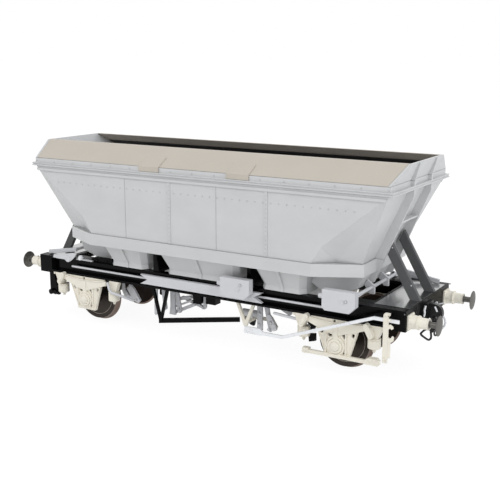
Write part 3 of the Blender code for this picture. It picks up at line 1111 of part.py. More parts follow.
gear_shaft = tube([(V_CREAM_X, -V_Y + V_THICKNESS / 2, GEAR_SHAFT_Z), (V_CREAM_X, RIGGING_THICKNESS - RIGGING_Y, GEAR_SHAFT_Z)],
                  GEAR_SHAFT_RADIUS, 10)
gear_plate = block((GEAR_PLATE_X - GEAR_PLATE_WIDTH / 2, GEAR_PLATE_X + GEAR_PLATE_WIDTH / 2), gear_y,
                   (GEAR_PLATE_FOOT_Z, GEAR_PLATE_TOP_Z))
gear_link = bar((V_CREAM_X, -RIGGING_Y, GEAR_SHAFT_Z), (GEAR_ARM_X, -RIGGING_Y, GEAR_SHAFT_Z), RIGGING_THICKNESS / 2, CROSS_DEPTH)
gear_arm = bar((GEAR_ARM_X, -RIGGING_Y, GEAR_SHAFT_Z + GEAR_SHAFT_RADIUS), (GEAR_ARM_FOOT_X, -RIGGING_Y, GEAR_ARM_FOOT_Z),
               RIGGING_THICKNESS, GEAR_PLATE_WIDTH)
both_ends("lever_hanger", combined(pale_v, [gear_shaft, gear_plate, gear_link, gear_arm]), "cream", names=("near", "far"))

# Brake link beside the left-hand wheel of each side
wheel_gap = TREAD_RADIUS + FLANGE_HEIGHT + BRAKE_LINK_WHEEL_GAP
link_angles = [math.radians(BRAKE_LINK_LOW_ANGLE + (BRAKE_LINK_TOP_ANGLE - BRAKE_LINK_LOW_ANGLE) * i / 6) for i in range(7)]
link_arc = [(radius * math.cos(angle) - AXLE_X, AXLE_Z + radius * math.sin(angle))
            for radius in (wheel_gap, wheel_gap + BRAKE_LINK_DEPTH) for angle in link_angles]
link_y = (-BRAKE_LINK_Y - BRAKE_LINK_THICKNESS / 2, -BRAKE_LINK_Y + BRAKE_LINK_THICKNESS / 2)
link = prism(link_arc[:7] + link_arc[:6:-1], "y", *link_y)
link_x = wheel_gap + BRAKE_LINK_DEPTH - AXLE_X
link_foot_x = link_x + BRAKE_LINK_PLATE_RUN
link_plate = bar((link_x, -BRAKE_LINK_Y, BRAKE_LINK_PLATE_TOP_Z), (link_foot_x, -BRAKE_LINK_Y, BRAKE_LINK_FOOT_Z), BRAKE_LINK_THICKNESS, BRAKE_LINK_PLATE_WIDTH)
link_bar = bar((link_x - BRAKE_LINK_DEPTH / 2, -BRAKE_LINK_Y, BRAKE_LINK_FOOT_Z), (link_foot_x, -BRAKE_LINK_Y, BRAKE_LINK_FOOT_Z), BRAKE_LINK_THICKNESS / 2, BRAKE_LINK_DEPTH)
pull_bar = tube([(PULL_BAR_START_X - AXLE_X, -DAMPER_Y - PULL_BAR_RADIUS, PULL_BAR_Z), (link_foot_x, -BRAKE_LINK_Y, BRAKE_LINK_FOOT_Z)],
                PULL_BAR_RADIUS, 10)
both_ends("brake_link", combined(link, [link_plate, link_bar, pull_bar]), "grey", names=("near", "far"))

# Brake gear under each near bearer: an upright plate and two crossed levers
gear_upright = block((-BEARER_X - UPRIGHT_WIDTH / 2, -BEARER_X + UPRIGHT_WIDTH / 2), gear_y, (UPRIGHT_FOOT_Z, FRAME_TOP_Z - SINK - FIT))
gear_end_x = CROSS_RUN - BEARER_X
levers = [
    bar((-BEARER_X, -RIGGING_Y, CROSS_LOW_Z), (gear_end_x, -RIGGING_Y, CROSS_LOW_Z + CROSS_RISE), RIGGING_THICKNESS, CROSS_DEPTH),
    bar((-BEARER_X, -RIGGING_Y, CROSS_TOP_Z), (gear_end_x, -RIGGING_Y, CROSS_END_Z), RIGGING_THICKNESS, CROSS_DEPTH),
]
both_ends("brake_gear", combined(gear_upright, levers), "grey", names=("near", "far"))

# A dark bracket with two knobs behind the left-hand end of each headstock
bracket_x = HEADSTOCK_X - HEADSTOCK_THICKNESS - FIT
bracket_outline = [
    (-bracket_x, BRACKET_TOP_Z), (-bracket_x, BRACKET_FOOT_Z), (BRACKET_FOOT_WIDTH - bracket_x, BRACKET_FOOT_Z),
    (BRACKET_TOP_WIDTH - bracket_x, BRACKET_TOP_Z)]
bracket_plate = prism(bracket_outline, "y", -BRACKET_Y, BRACKET_THICKNESS - BRACKET_Y)
knobs = [turned([(-BRACKET_Y - KNOB_RADIUS, KNOB_RADIUS * share), (SINK - BRACKET_Y, KNOB_RADIUS * share)], "y",
                SMALL_ROUND_STEPS, (x - bracket_x, 0, BRACKET_FOOT_Z + KNOB_RADIUS))
         for x, share in ((KNOB_RADIUS, 1), (BRACKET_FOOT_WIDTH - KNOB_RADIUS, KNOB_SMALL_SHARE))]
both_ends("end_bracket", combined(bracket_plate, knobs), "black", names=("left", "right"))
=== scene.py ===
import math
import bmesh
import bpy
import numpy as np
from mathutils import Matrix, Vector
from mathutils.geometry import tessellate_polygon


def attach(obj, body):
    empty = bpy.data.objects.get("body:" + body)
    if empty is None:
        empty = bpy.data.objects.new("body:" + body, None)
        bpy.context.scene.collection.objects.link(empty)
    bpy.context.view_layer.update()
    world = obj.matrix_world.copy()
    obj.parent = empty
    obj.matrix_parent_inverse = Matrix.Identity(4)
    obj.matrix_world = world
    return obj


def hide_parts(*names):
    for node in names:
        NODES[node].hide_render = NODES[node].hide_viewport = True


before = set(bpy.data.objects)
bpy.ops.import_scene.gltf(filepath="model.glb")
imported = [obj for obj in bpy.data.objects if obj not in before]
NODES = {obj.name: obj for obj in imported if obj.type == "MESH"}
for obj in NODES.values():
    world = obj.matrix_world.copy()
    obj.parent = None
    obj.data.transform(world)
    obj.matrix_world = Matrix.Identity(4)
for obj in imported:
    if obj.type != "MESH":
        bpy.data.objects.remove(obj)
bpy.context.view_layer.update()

MM = 0.001
SHARP_ANGLE, BEVEL_ANGLE, BEVEL_SEGMENTS = 32, 30, 2
AXES = {"x": np.array([1.0, 0, 0]), "y": np.array([0, 1.0, 0]), "z": np.array([0, 0, 1.0])}
# Steps of a rivet's quarter turn, and a nut's profile, as shares of its height and radius
DOME_SHARES = np.array([0.0, 0.35, 0.8])
NUT_SHARES = [(-0.2, 1.0), (0.8, 1.0), (1.0, 0.82)]

# Materials: noise scales count lumps in a metre, and lengths are in metres
NOISE_LOW, NOISE_HIGH = 0.3, 0.7
CLOUD_SCALE, CLOUD_DETAIL, CLOUD_STRETCH = 70, 5, (1, 1, 1.6)
FLOW_SCALE, FLOW_DETAIL, FLOW_STRETCH = 190, 3, (0.35, 1, 1)
STAIN_SCALE = 260
PLASTIC_SHEEN, METAL_SHEEN = (-0.06, 0.07), (-0.1, 0.15)
GRAIN_SCALE, METAL_GRAIN_SCALE, METAL_BUMP = 2600, 5200, 0.12
SKIN_DETAIL, SKIN_DEPTH = 2, 0.00003
EDGE_RADIUS = 0.00018


def new_material(name):
    """A named material with its tree and its one shader."""
    material = bpy.data.materials.new(name)
    material.use_nodes = True
    return material, material.node_tree, material.node_tree.nodes["Principled BSDF"]


def add_node(tree, kind, inputs=(), **settings):
    """A shader node with its settings, whose inputs are linked to sockets or set to plain values."""
    node = tree.nodes.new(kind)
    for key, value in settings.items():
        setattr(node, key, value)
    for key, value in dict(inputs).items():
        if isinstance(value, bpy.types.NodeSocket):
            tree.links.new(value, node.inputs[key])
        else:
            node.inputs[key].default_value = value
    return node


def object_noise(tree, scale, detail, stretch=(1, 1, 1)):
    """Fractal noise in the wagon's own coordinates; scale counts the lumps in a metre."""
    place = add_node(tree, "ShaderNodeTexCoord")
    mapping = add_node(tree, "ShaderNodeMapping", {"Vector": place.outputs["Object"], "Scale": stretch})
    return add_node(tree, "ShaderNodeTexNoise", {"Vector": mapping.outputs["Vector"], "Scale": scale,
                                                 "Detail": detail})


def remap(tree, source, low, high):
    """The noise's own range spread from low to high."""
    spread = {"Value": source, "From Min": NOISE_LOW, "From Max": NOISE_HIGH, "To Min": low, "To Max": high}
    return add_node(tree, "ShaderNodeMapRange", spread).outputs["Result"]


def varied_colour(tree, shader, colour, spread, noise):
    """The colour moved a little lighter and darker by a noise."""
    low = tuple(c * (1 - spread) for c in colour) + (1,)
    high = tuple(min(1, c * (1 + spread)) for c in colour) + (1,)
    ramp = add_node(tree, "ShaderNodeValToRGB", {"Fac": noise})
    for element, position, tone in zip(ramp.color_ramp.elements, (NOISE_LOW, NOISE_HIGH), (low, high)):
        element.position = position
        element.color = tone
    tree.links.new(ramp.outputs["Color"], shader.inputs["Base Color"])


def skin_bump(tree, shader, scale, strength, **start):
    """A fine skin of grain, as a bump on the surface's own normal or on the one given."""
    skin = object_noise(tree, scale, SKIN_DETAIL)
    bump = add_node(tree, "ShaderNodeBump", {"Height": skin.outputs["Fac"], "Strength": strength,
                                             "Distance": SKIN_DEPTH, **start})
    tree.links.new(bump.outputs["Normal"], shader.inputs["Normal"])


def moulded(name, colour, rough, spread=0.03, gloss=0.5, bump=0.12):
    """Injection-moulded plastic: cloudy colour, patchy sheen, a fine skin of grain and softened edges."""
    material, tree, shader = new_material(name)
    cloud = object_noise(tree, CLOUD_SCALE, CLOUD_DETAIL, CLOUD_STRETCH)
    varied_colour(tree, shader, colour, spread, cloud.outputs["Fac"])
    flow = object_noise(tree, FLOW_SCALE, FLOW_DETAIL, FLOW_STRETCH)
    sheen = remap(tree, flow.outputs["Fac"], rough + PLASTIC_SHEEN[0], rough + PLASTIC_SHEEN[1])
    tree.links.new(sheen, shader.inputs["Roughness"])
    edge = add_node(tree, "ShaderNodeBevel", {"Radius": EDGE_RADIUS}, samples=4)
    skin_bump(tree, shader, GRAIN_SCALE, bump, Normal=edge.outputs["Normal"])
    shader.inputs["Specular IOR Level"].default_value = gloss
    return material


def turned_metal(name, colour, rough, spread=0.25, metallic=1.0):
    """Turned metal: stained darker in clouds, with a finer grain than the plastic."""
    material, tree, shader = new_material(name)
    stain = object_noise(tree, STAIN_SCALE, CLOUD_DETAIL)
    varied_colour(tree, shader, colour, spread, stain.outputs["Fac"])
    sheen = remap(tree, stain.outputs["Fac"], rough + METAL_SHEEN[0], rough + METAL_SHEEN[1])
    tree.links.new(sheen, shader.inputs["Roughness"])
    skin_bump(tree, shader, METAL_GRAIN_SCALE, METAL_BUMP)
    shader.inputs["Metallic"].default_value = metallic
    return material


GREY = moulded("moulded_light_grey", (0.57, 0.57, 0.572), 0.42, gloss=0.3)
BEIGE = moulded("moulded_warm_grey", (0.5, 0.453, 0.392), 0.5, spread=0.02, gloss=0.35)
BLACK = moulded("moulded_black", (0.002, 0.002, 0.0025), 0.16, spread=0.15, gloss=0.09, bump=0.03)
LINER_BLACK = moulded("moulded_matt_black", (0.008, 0.008, 0.0077), 0.55, spread=0.12)
CREAM = moulded("moulded_cream", (0.81, 0.765, 0.66), 0.42, spread=0.02)
GLOSS_BLACK = moulded("moulded_glossy_black", (0.006, 0.006, 0.006), 0.22, spread=0.15, gloss=0.05, bump=0.02)
STRUT_BLACK = moulded("moulded_strut_black", (0.105, 0.105, 0.107), 0.5, spread=0.1, gloss=0.1, bump=0.03)
PALE = moulded("moulded_pale_grey", (0.6, 0.6, 0.62), 0.4)
WHITE = moulded("glossy_white", (0.78, 0.78, 0.8), 0.25)
# Rivet grey, a little darker than the tub: painted shade round the heads
RIVET_SHADE = moulded("rivet_grey", (0.5, 0.5, 0.51), 0.45, gloss=0.4)
DECK = moulded("polished_deck_black", (0.004, 0.004, 0.005), 0.1, spread=0.1, gloss=0.6, bump=0.0)
deck_shader = DECK.node_tree.nodes["Principled BSDF"]
for socket, value in (("Coat Weight", 1.0), ("Coat Roughness", 0.19), ("Coat IOR", 3.6)):
    deck_shader.inputs[socket].default_value = value
# Darker grey for the seams and gearbox rings: painted shade in their edges
SEAM_SHADE = moulded("seam_shadow", (0.33, 0.33, 0.34), 0.6)
WHEEL = turned_metal("darkened_wheel_metal", (0.012, 0.006, 0.0035), 0.6, metallic=0.0)
WHEEL.node_tree.nodes["Principled BSDF"].inputs["Specular IOR Level"].default_value = 0.12
# The rims' pale tone is partly the metal's own and partly a painted highlight for light caught on the rim's
# bevel
PALE_RIM_AND_HIGHLIGHT = turned_metal("pale_wheel_rim", (0.5, 0.45, 0.4), 0.45, metallic=0.3)
RIM_FACE = turned_metal("dark_tyre_face", (0.045, 0.038, 0.033), 0.35)
TYRE = turned_metal("worn_tyre_metal", (0.17, 0.128, 0.108), 0.36)
BUFFER = turned_metal("blackened_buffer_metal", (0.13, 0.125, 0.115), 0.45, metallic=0.8)
DARK_METAL = turned_metal("blackened_coupling_metal", (0.02, 0.02, 0.021), 0.35, metallic=0.6)
BRIGHT = turned_metal("bright_lever_metal", (0.8, 0.81, 0.83), 0.3, spread=0.08, metallic=0.35)

NODE_LOOKS = [
    ("hopper", GREY), ("waist_band", GREY), ("top_rail", GREY), ("canopy_end", GREY), ("canopy_side", BEIGE),
    ("liner", LINER_BLACK), ("frame", BLACK), ("headstock", GLOSS_BLACK), ("strut", STRUT_BLACK),
    ("end_bracket", BLACK), ("wheelset", WHEEL), ("axleguard", CREAM), ("buffer_housing", CREAM),
    ("buffer_ram", BUFFER), ("coupling", DARK_METAL), ("hose", WHITE), ("side_plate", PALE),
    ("gearbox", PALE), ("door_rod", PALE), ("door_shaft", PALE), ("brake_gear", PALE), ("brake_link", PALE),
    ("brake_lever", BRIGHT), ("lever_post", CREAM), ("brake_hanger", BLACK), ("lever_hanger", CREAM),
]
for node_name, node_object in NODES.items():
    look = next(material for start, material in NODE_LOOKS if node_name.startswith(start))
    node_object.data.materials.clear()
    node_object.data.materials.append(look)


# Shells: each is (points, faces), with points as one array of rows in millimetres
def grid_faces(rows, columns, wrap):
    """The four-sided faces between the rows and columns of a grid of points."""
    row, column = np.meshgrid(np.arange(rows - 1), np.arange(columns if wrap else columns - 1), indexing="ij")
    here = row * columns + column
    right = row * columns + (column + 1) % columns
    return np.stack([here, right, right + columns, here + columns], -1).reshape(-1, 4).tolist()


def stack(loops):
    """Loops of like points joined in order, with the first and last closed by flat caps."""
    loops = np.asarray(loops, float)
    rows, columns = loops.shape[:2]
    faces = grid_faces(rows, columns, True)
    faces.append(list(range(columns)))
    faces.append(list(range((rows - 1) * columns, rows * columns)))
    return loops.reshape(-1, 3), faces


def revolve(profile, axis="y", centre=(0, 0, 0), steps=48):
    """A profile of (along, radius) turned about an axis: along it, and radius * (cos t, sin t) across."""
    profile = np.asarray(profile, float)
    index = "xyz".index(axis)
    angle = 2 * np.pi * (np.arange(steps) + 0.5) / steps
    points = np.zeros((len(profile), steps, 3))
    points[..., index] = profile[:, :1]
    points[..., (index + 1) % 3] = profile[:, 1:] * np.cos(angle)
    points[..., (index + 2) % 3] = profile[:, 1:] * np.sin(angle)
    return stack(points + np.asarray(centre, float))


def sweep(path, radius, steps=12, reference="y"):
    """A round bar whose circle of the given radius is carried square to the path."""
    path = np.asarray(path, float)
    along = np.gradient(path, axis=0)
    along /= np.linalg.norm(along, axis=1, keepdims=True)
    side = np.cross(along, AXES[reference])
    side /= np.linalg.norm(side, axis=1, keepdims=True)
    up = np.cross(side, along)
    angle = 2 * np.pi * np.arange(steps) / steps
    radius = np.broadcast_to(np.asarray(radius, float), (len(path),)).reshape(-1, 1, 1)
    ring = side[:, None] * np.cos(angle)[None, :, None] + up[:, None] * np.sin(angle)[None, :, None]
    return stack(path[:, None] + radius * ring)


def slab(outline, axis, low, high):
    """A flat outline drawn out along an axis; x outlines give (y, z), y give (x, z), z give (x, y)."""
    outline = np.asarray(outline, float)
    index = "xyz".index(axis)
    others = [i for i in range(3) if i != index]
    loops = np.zeros((2, len(outline), 3))
    loops[:, :, others] = outline
    loops[:, :, index] = np.array([low, high])[:, None]
    return stack(loops)


def pierced(outline, holes, axis, low, high):
    """A flat outline with holes in it, cut into triangles and drawn out, with a wall round every loop."""
    loops = [np.asarray(loop, float) for loop in [outline] + list(holes)]
    flat = np.concatenate(loops)
    rows = [np.column_stack([loop, np.zeros(len(loop))]).tolist() for loop in loops]
    triangles = np.array(tessellate_polygon([list(map(Vector, row)) for row in rows]))
    index = "xyz".index(axis)
    others = [i for i in range(3) if i != index]
    points = np.zeros((2, len(flat), 3))
    points[:, :, others] = flat
    points[:, :, index] = np.array([low, high])[:, None]
    faces = triangles.tolist() + (triangles + len(flat)).tolist()
    start = 0
    for loop in loops:
        here = start + np.arange(len(loop))
        after = start + (np.arange(len(loop)) + 1) % len(loop)
        faces += np.stack([here, after, after + len(flat), here + len(flat)], -1).tolist()
        start += len(loop)
    return points.reshape(-1, 3), faces


def oval(x, z, half_x, half_z, steps=12):
    """A loop of (x + half_x cos t, z + half_z sin t)."""
    turn = 2 * np.pi * np.arange(steps) / steps
    return np.stack([x + half_x * np.cos(turn), z + half_z * np.sin(turn)], -1)


def rounded_bar(start, end, half, steps=6):
    """The outline of a flat bar between two points with half round ends."""
    start, end = np.asarray(start, float), np.asarray(end, float)
    lean = np.arctan2(end[1] - start[1], end[0] - start[0])
    turn = np.linspace(-np.pi / 2, np.pi / 2, steps + 1)
    ends = [np.stack([place[0] + half * np.cos(angles), place[1] + half * np.sin(angles)], -1)
            for place, angles in ((end, lean + turn), (start, lean + np.pi + turn))]
    return np.concatenate(ends)


def flat_bar(route, half, low, high, axis="y"):
    """A flat bar of even depth along a route of (x, z), drawn out along an axis."""
    route = np.asarray(route, float)
    along = np.gradient(route, axis=0)
    along /= np.linalg.norm(along, axis=1, keepdims=True)
    across = np.stack([-along[:, 1], along[:, 0]], -1) * half
    return slab(np.concatenate([route + across, (route - across)[::-1]]), axis, low, high)


def coil(centre, axis, radius, wire, length, turns, steps=14):
    """Round wire along centre + radius (cos t, sin t) across the axis, rising evenly along it."""
    turn = np.linspace(0, 2 * np.pi * turns, int(turns * steps) + 1)
    index = "xyz".index(axis)
    path = np.zeros((len(turn), 3))
    path[:, index] = np.linspace(0, length, len(turn))
    path[:, (index + 1) % 3] = radius * np.cos(turn)
    path[:, (index + 2) % 3] = radius * np.sin(turn)
    return sweep(path + np.asarray(centre, float), wire, 8, axis)


def nuts(places, axis, radius, height):
    """Six-sided heads standing out of the places along an axis; a negative height looks the other way."""
    profile = [(along * height, across * radius) for along, across in NUT_SHARES]
    return [revolve(profile, axis, place, 6) for place in places]


def smooth_path(points, steps=6):
    """A smooth curve through points: cubic steps whose slope at each point is that of its two neighbours."""
    points = np.asarray(points, float)
    slope = np.gradient(points, axis=0)
    t = np.linspace(0, 1, steps, endpoint=False)[None, :, None]
    first, last = points[:-1, None], points[1:, None]
    leave, reach = slope[:-1, None], slope[1:, None]
    curve = ((2 * t**3 - 3 * t**2 + 1) * first + (t**3 - 2 * t**2 + t) * leave + (3 * t**2 - 2 * t**3) * last
             + (t**3 - t**2) * reach)
    return np.concatenate([curve.reshape(-1, points.shape[1]), points[-1:]])


def box(x, y, z):
    """A plain block from its spans (from, to) along x, y and z."""
    return slab([(x[0], y[0]), (x[1], y[0]), (x[1], y[1]), (x[0], y[1])], "z", z[0], z[1])


def domes(places, outward, radius, height, steps=8):
    """Rivet heads: radius * cos(a) round the outward line and height * sin(a) along it, at every place."""
    places = np.atleast_2d(np.asarray(places, float))
    outward = np.asarray(outward, float) / np.linalg.norm(outward)
    side = np.cross(outward, AXES["x"] if abs(outward[0]) < 0.9 else AXES["y"])
    side /= np.linalg.norm(side)
    up = np.cross(outward, side)
    turn = 2 * np.pi * np.arange(steps) / steps
    rise = DOME_SHARES * np.pi / 2
    ring = side * np.cos(turn)[:, None] + up * np.sin(turn)[:, None]
    loops = radius * np.cos(rise)[:, None, None] * ring + height * np.sin(rise)[:, None, None] * outward
    loops = np.concatenate([radius * ring[None] - height * outward, loops])
    points, faces = stack(loops)
    count = len(points)
    everywhere = (places[:, None] + points[None]).reshape(-1, 3)
    shifts = np.arange(len(places)) * count
    every_face = [[i + int(shift) for i in face] for shift in shifts for face in faces]
    return everywhere, every_face


def half_turned(shells):
    """The same shells turned half round the wagon's middle."""
    return [(points * np.array([-1, -1, 1]), faces) for points, faces in shells]


def both_halves(shells):
    """The shells with their half turned twins."""
    return shells + half_turned(shells)


def piece(name, shells, material, body="wagon", replaced=(), bevel=0.0):
    """One named object from closed shells, its faces turned outward and its edges softened."""
    points = np.concatenate([shell[0] for shell in shells]) * MM
    faces = []
    start = 0
    for shell_points, shell_faces in shells:
        faces += [[i + start for i in face] for face in shell_faces]
        start += len(shell_points)
    mesh = bpy.data.meshes.new(name)
    mesh.from_pydata(points.tolist(), [], faces)
    shape = bmesh.new()
    shape.from_mesh(mesh)
    bmesh.ops.recalc_face_normals(shape, faces=shape.faces)
    shape.to_mesh(mesh)
    shape.free()
    mesh.materials.append(material)
    mesh.shade_smooth()
    mesh.set_sharp_from_angle(angle=math.radians(SHARP_ANGLE))
    made = bpy.data.objects.new(name, mesh)
    bpy.context.scene.collection.objects.link(made)
    if bevel:
        rounding = made.modifiers.new("soft_edges", "BEVEL")
        rounding.width = bevel * MM
        rounding.segments = BEVEL_SEGMENTS
        rounding.limit_method = "ANGLE"
        rounding.angle_limit = math.radians(BEVEL_ANGLE)
        rounding.harden_normals = True
    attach(made, body)
    if replaced:
        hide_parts(*replaced)
    return made


# Driving places of the wagon in millimetres, read from the solids
def solid_places(name):
    """The least corner, middle and greatest corner of a solid's box, to a hundredth of a millimetre."""
    mesh = NODES[name].data
    points = np.zeros(len(mesh.vertices) * 3)
    mesh.vertices.foreach_get("co", points)
    points = points.reshape(-1, 3) / MM
    low, high = points.min(axis=0), points.max(axis=0)
    return low.round(2), ((low + high) / 2).round(2), high.round(2)


AXLE_X, _, AXLE_Z = solid_places("wheelset_right")[1]
_, BUFFER_Y, BUFFER_Z = solid_places("buffer_housing_right_far")[1]
HEADSTOCK_X, _, DECK_Z = solid_places("headstock_right")[2]
SOLEBAR_FOOT = solid_places("frame")[0][2]
TUB_SIDE_Y = solid_places("hopper_base")[0][1]

# Wheels: a dished disc with a raised hub and a worn tyre, as profiles of (distance out, radius)
# The disc's first points carry its back out over the tyre's inner face in the dark disc metal: painted shade
# on that face
WHEEL_DISC_AND_SHADED_BACK = [(13.35, 0.0), (13.35, 11.0), (13.45, 11.1), (13.6, 11.1), (13.7, 7.4), (15.3, 7.4), (15.4, 4.3),
              (16.4, 3.4), (17.1, 2.9), (17.2, 2.5), (17.2, 0.0)]
WHEEL_RIM = [(14.6, 7.2), (14.6, 8.9), (16.6, 8.9), (16.8, 8.85), (16.75, 8.7), (16.0, 7.5), (15.3, 7.2)]
WHEEL_FACE = [(16.1, 8.8), (16.1, 10.75), (16.8, 10.8), (16.9, 10.65), (16.9, 9.0), (16.75, 8.9)]
WHEEL_TREAD = [(13.5, 8.6), (13.5, 11.2), (13.6, 11.6), (13.75, 11.85), (13.95, 11.9), (14.15, 11.8),
               (14.35, 11.4), (14.6, 11.1), (15.0, 10.95), (16.5, 10.85), (16.6, 10.8), (16.6, 8.6)]
AXLE = [(-21.8, 0), (-21.8, 1.3), (-21.6, 1.5), (21.6, 1.5), (21.8, 1.3), (21.8, 0)]
DISC_STEPS, TYRE_STEPS, AXLE_STEPS = 64, 72, 32


def wheel_pair(profile, x, steps):
    """One profile turned about the axle for both wheels, the second with its distances the other way."""
    return [revolve([(sign * out, radius) for out, radius in profile], "y", (x, 0, AXLE_Z), steps)
            for sign in (1, -1)]


for side_name, x in (("left", -AXLE_X), ("right", AXLE_X)):
    turning = "wheels_" + side_name
    discs_and_shaded_backs = wheel_pair(WHEEL_DISC_AND_SHADED_BACK, x, DISC_STEPS)
    discs_and_shaded_backs.append(revolve(AXLE, "y", (x, 0, AXLE_Z), AXLE_STEPS))
    replaced = ("wheelset_" + side_name,)
    piece("wheel_discs_" + side_name, discs_and_shaded_backs, WHEEL, turning, replaced)
    for part_name, profile, look in (("rims", WHEEL_RIM, PALE_RIM_AND_HIGHLIGHT), ("faces", WHEEL_FACE, RIM_FACE),
                                     ("tyres", WHEEL_TREAD, TYRE)):
        shells = wheel_pair(profile, x, TYRE_STEPS)
        piece(f"wheel_{part_name}_{side_name}", shells, look, turning)

# Rivets along the tub's sides, its two raised straps a side and the kerb above them, drawn a little darker
# than the tub as painted shade round their heads
# Each rivet is (radius, height)
ROW_HALF, ROW_PITCH, ROW_Z = 72.0, 3.5, 65.8
ROW_RIVET = (0.32, 0.24)
STRAP_PLACES, STRAP_PROUD = (34.5, -11.5), 0.3
STRAP_FOOT_Z, STRAP_TOP_Z, STRAP_PITCH = 46.0, 70.0, 1.75
STRAP_RIVET = (0.3, 0.24)
KERB_HALF, KERB_PITCH, KERB_Y, KERB_Z = 84.4, 10.55, -29.2, 74.6
KERB_RIVET = (0.4, 0.26)


def side_rivets(x, y, z, size):
    """Rivet heads of a size looking out of the near side, at all places of x, y and z."""
    return domes(np.stack(np.broadcast_arrays(x, y, z), -1), (0, -1, 0), *size)


row_x = np.arange(-ROW_HALF, ROW_HALF, ROW_PITCH)
strap_z = np.arange(STRAP_FOOT_Z, STRAP_TOP_Z, STRAP_PITCH)
kerb_x = np.arange(-KERB_HALF, KERB_HALF + KERB_PITCH / 2, KERB_PITCH)
rows = [side_rivets(row_x, TUB_SIDE_Y, ROW_Z, ROW_RIVET)]
for strap_x in STRAP_PLACES:
    rows.append(side_rivets(strap_x, TUB_SIDE_Y - STRAP_PROUD, strap_z, STRAP_RIVET))
rows.append(side_rivets(kerb_x, KERB_Y, KERB_Z, KERB_RIVET))
piece("tub_rivets", both_halves(rows), RIVET_SHADE)

# Ring and cap moulded on each gearbox, as profiles of (y, radius), and the plain seams of the tub's sides;
# the rings and seams are drawn in a darker grey as painted shade
GEARBOX_MARKS_X, GEARBOX_MARK_Z = (22.7, 68.9), 31.4
GEARBOX_RING = [(-29.3, 0), (-29.3, 0.62), (-29.6, 0.62), (-29.6, 0)]
GEARBOX_CAP = [(-29.7, 0), (-29.68, 0.36), (-29.62, 0.44), (-29.4, 0.44), (-29.4, 0)]
SEAM_PLACES, SEAM_HALF = (-34.5, 11.5), 0.09
SEAM_PROUD, SEAM_SUNK, SEAM_HEIGHT = 0.03, 0.05, (44.6, 70.2)
gear_rings = [revolve(GEARBOX_RING, "y", (x, 0, GEARBOX_MARK_Z), 24) for x in GEARBOX_MARKS_X]
gear_caps = [revolve(GEARBOX_CAP, "y", (x, 0, GEARBOX_MARK_Z), 20) for x in GEARBOX_MARKS_X]
seams = [box((x - SEAM_HALF, x + SEAM_HALF), (TUB_SIDE_Y - SEAM_PROUD, TUB_SIDE_Y + SEAM_SUNK), SEAM_HEIGHT)
         for x in SEAM_PLACES]
piece("gearbox_rings", both_halves(gear_rings), SEAM_SHADE)
piece("gearbox_caps", both_halves(gear_caps), PALE)
piece("panel_seams", both_halves(seams), SEAM_SHADE)

# Axleguards, drawn about their axle. Outlines are (x, z), and spans are (from, to) along one axis
GUARD_FACE, GUARD_BACK, GUARD_SEAT = -24.6, -23.6, 0.1
GUARD_PLATE = [(-4.5, 7.4), (5.8, 7.4), (6.3, 9.2), (9.3, 19.0), (12.4, 19.7), (12.4, 21.0), (-12.4, 21.0),
               (-12.4, 19.7), (-8.9, 19.0), (-5.0, 9.1)]
GUARD_COMMA = [(2.2, 16.9), (2.7, 16.1), (3.3, 15.3), (4.0, 14.6), (4.6, 14.8), (4.3, 15.9), (4.5, 17.2),
               (3.6, 18.0), (2.7, 17.8)]
GUARD_HOLES = [oval(-6.2, 16.9, 0.75, 0.85, 10), oval(-2.6, 16.1, 0.9, 0.85, 12), GUARD_COMMA,
               oval(7.2, 16.9, 0.75, 0.85, 10), [(-3.3, 9.0), (-2.7, 9.8), (-1.9, 9.0)],
               [(1.9, 8.9), (2.5, 9.6), (3.3, 9.8), (4.3, 9.5), (4.7, 8.9)]]
PACKING = [(-11.2, 20.2), (11.2, 20.2), (11.2, SOLEBAR_FOOT), (-11.2, SOLEBAR_FOOT)]
PACKING_SLOTS = [[(-1.5, 20.6), (-0.5, 20.6), (-0.5, 22.0), (-1.5, 22.0)],
                 [(2.2, 20.5), (4.8, 20.5), (4.8, 21.1), (2.2, 21.1)]]
PACKING_DEPTH = (-24.3, -23.7)
BOW_HALF, BOW_MIDDLE_Z, BOW_RISE, BOW_STEPS = 11.4, 20.9, 0.9, 15
BOW_LEFT, BOW_RIGHT = [(-12.5, 20.2), (-12.4, 21.8)], [(12.4, 21.8), (12.5, 20.2)]
BOW_BELLY = [(10.5, 19.3), (1.0, 16.2), (-1.0, 16.2), (-6.6, 17.8), (-9.6, 19.0), (-10.5, 19.3)]
BOW_PROUD, LEAF_PROUD, LEAF_HALF, LEAF_LIFT = 0.55, 0.85, 0.22, 0.12
PILLAR_X, PILLAR_Z = (-0.9, 0.9), (14.0, 21.0)
JAWS_X, JAW_Z, JAW_PROUD = ((3.9, 4.6), (-4.6, -3.9)), (8.2, 17.2), 0.45
GUARD_EDGES = ([(5.3, 7.8), (5.8, 7.8), (8.9, 18.6), (8.3, 18.6)],
               [(-3.9, 7.8), (-4.4, 7.8), (-8.5, 18.6), (-7.9, 18.6)])
EDGE_PROUD = 0.3
FOOT_X, FOOT_Z, FOOT_PROUD = (-4.5, 5.8), (7.4, 8.6), 0.5
BOX_PROFILE = [(-24.0, 0), (-24.0, 3.9), (-25.25, 3.9), (-25.4, 3.75), (-25.4, 3.2), (-25.15, 3.1),
               (-25.15, 2.95), (-25.75, 2.9), (-25.85, 2.75), (-25.85, 2.1), (-25.7, 2.0), (-25.7, 1.9),
               (-26.1, 1.85), (-26.25, 1.6), (-26.3, 0)]
BOX_SEAT, BOX_SEAT_PROUD = [(-3.2, 12.5), (-3.2, 8.2), (3.2, 8.2), (3.2, 12.5)], 0.35
CUP_X, CUP_Y = 15.0, -22.5
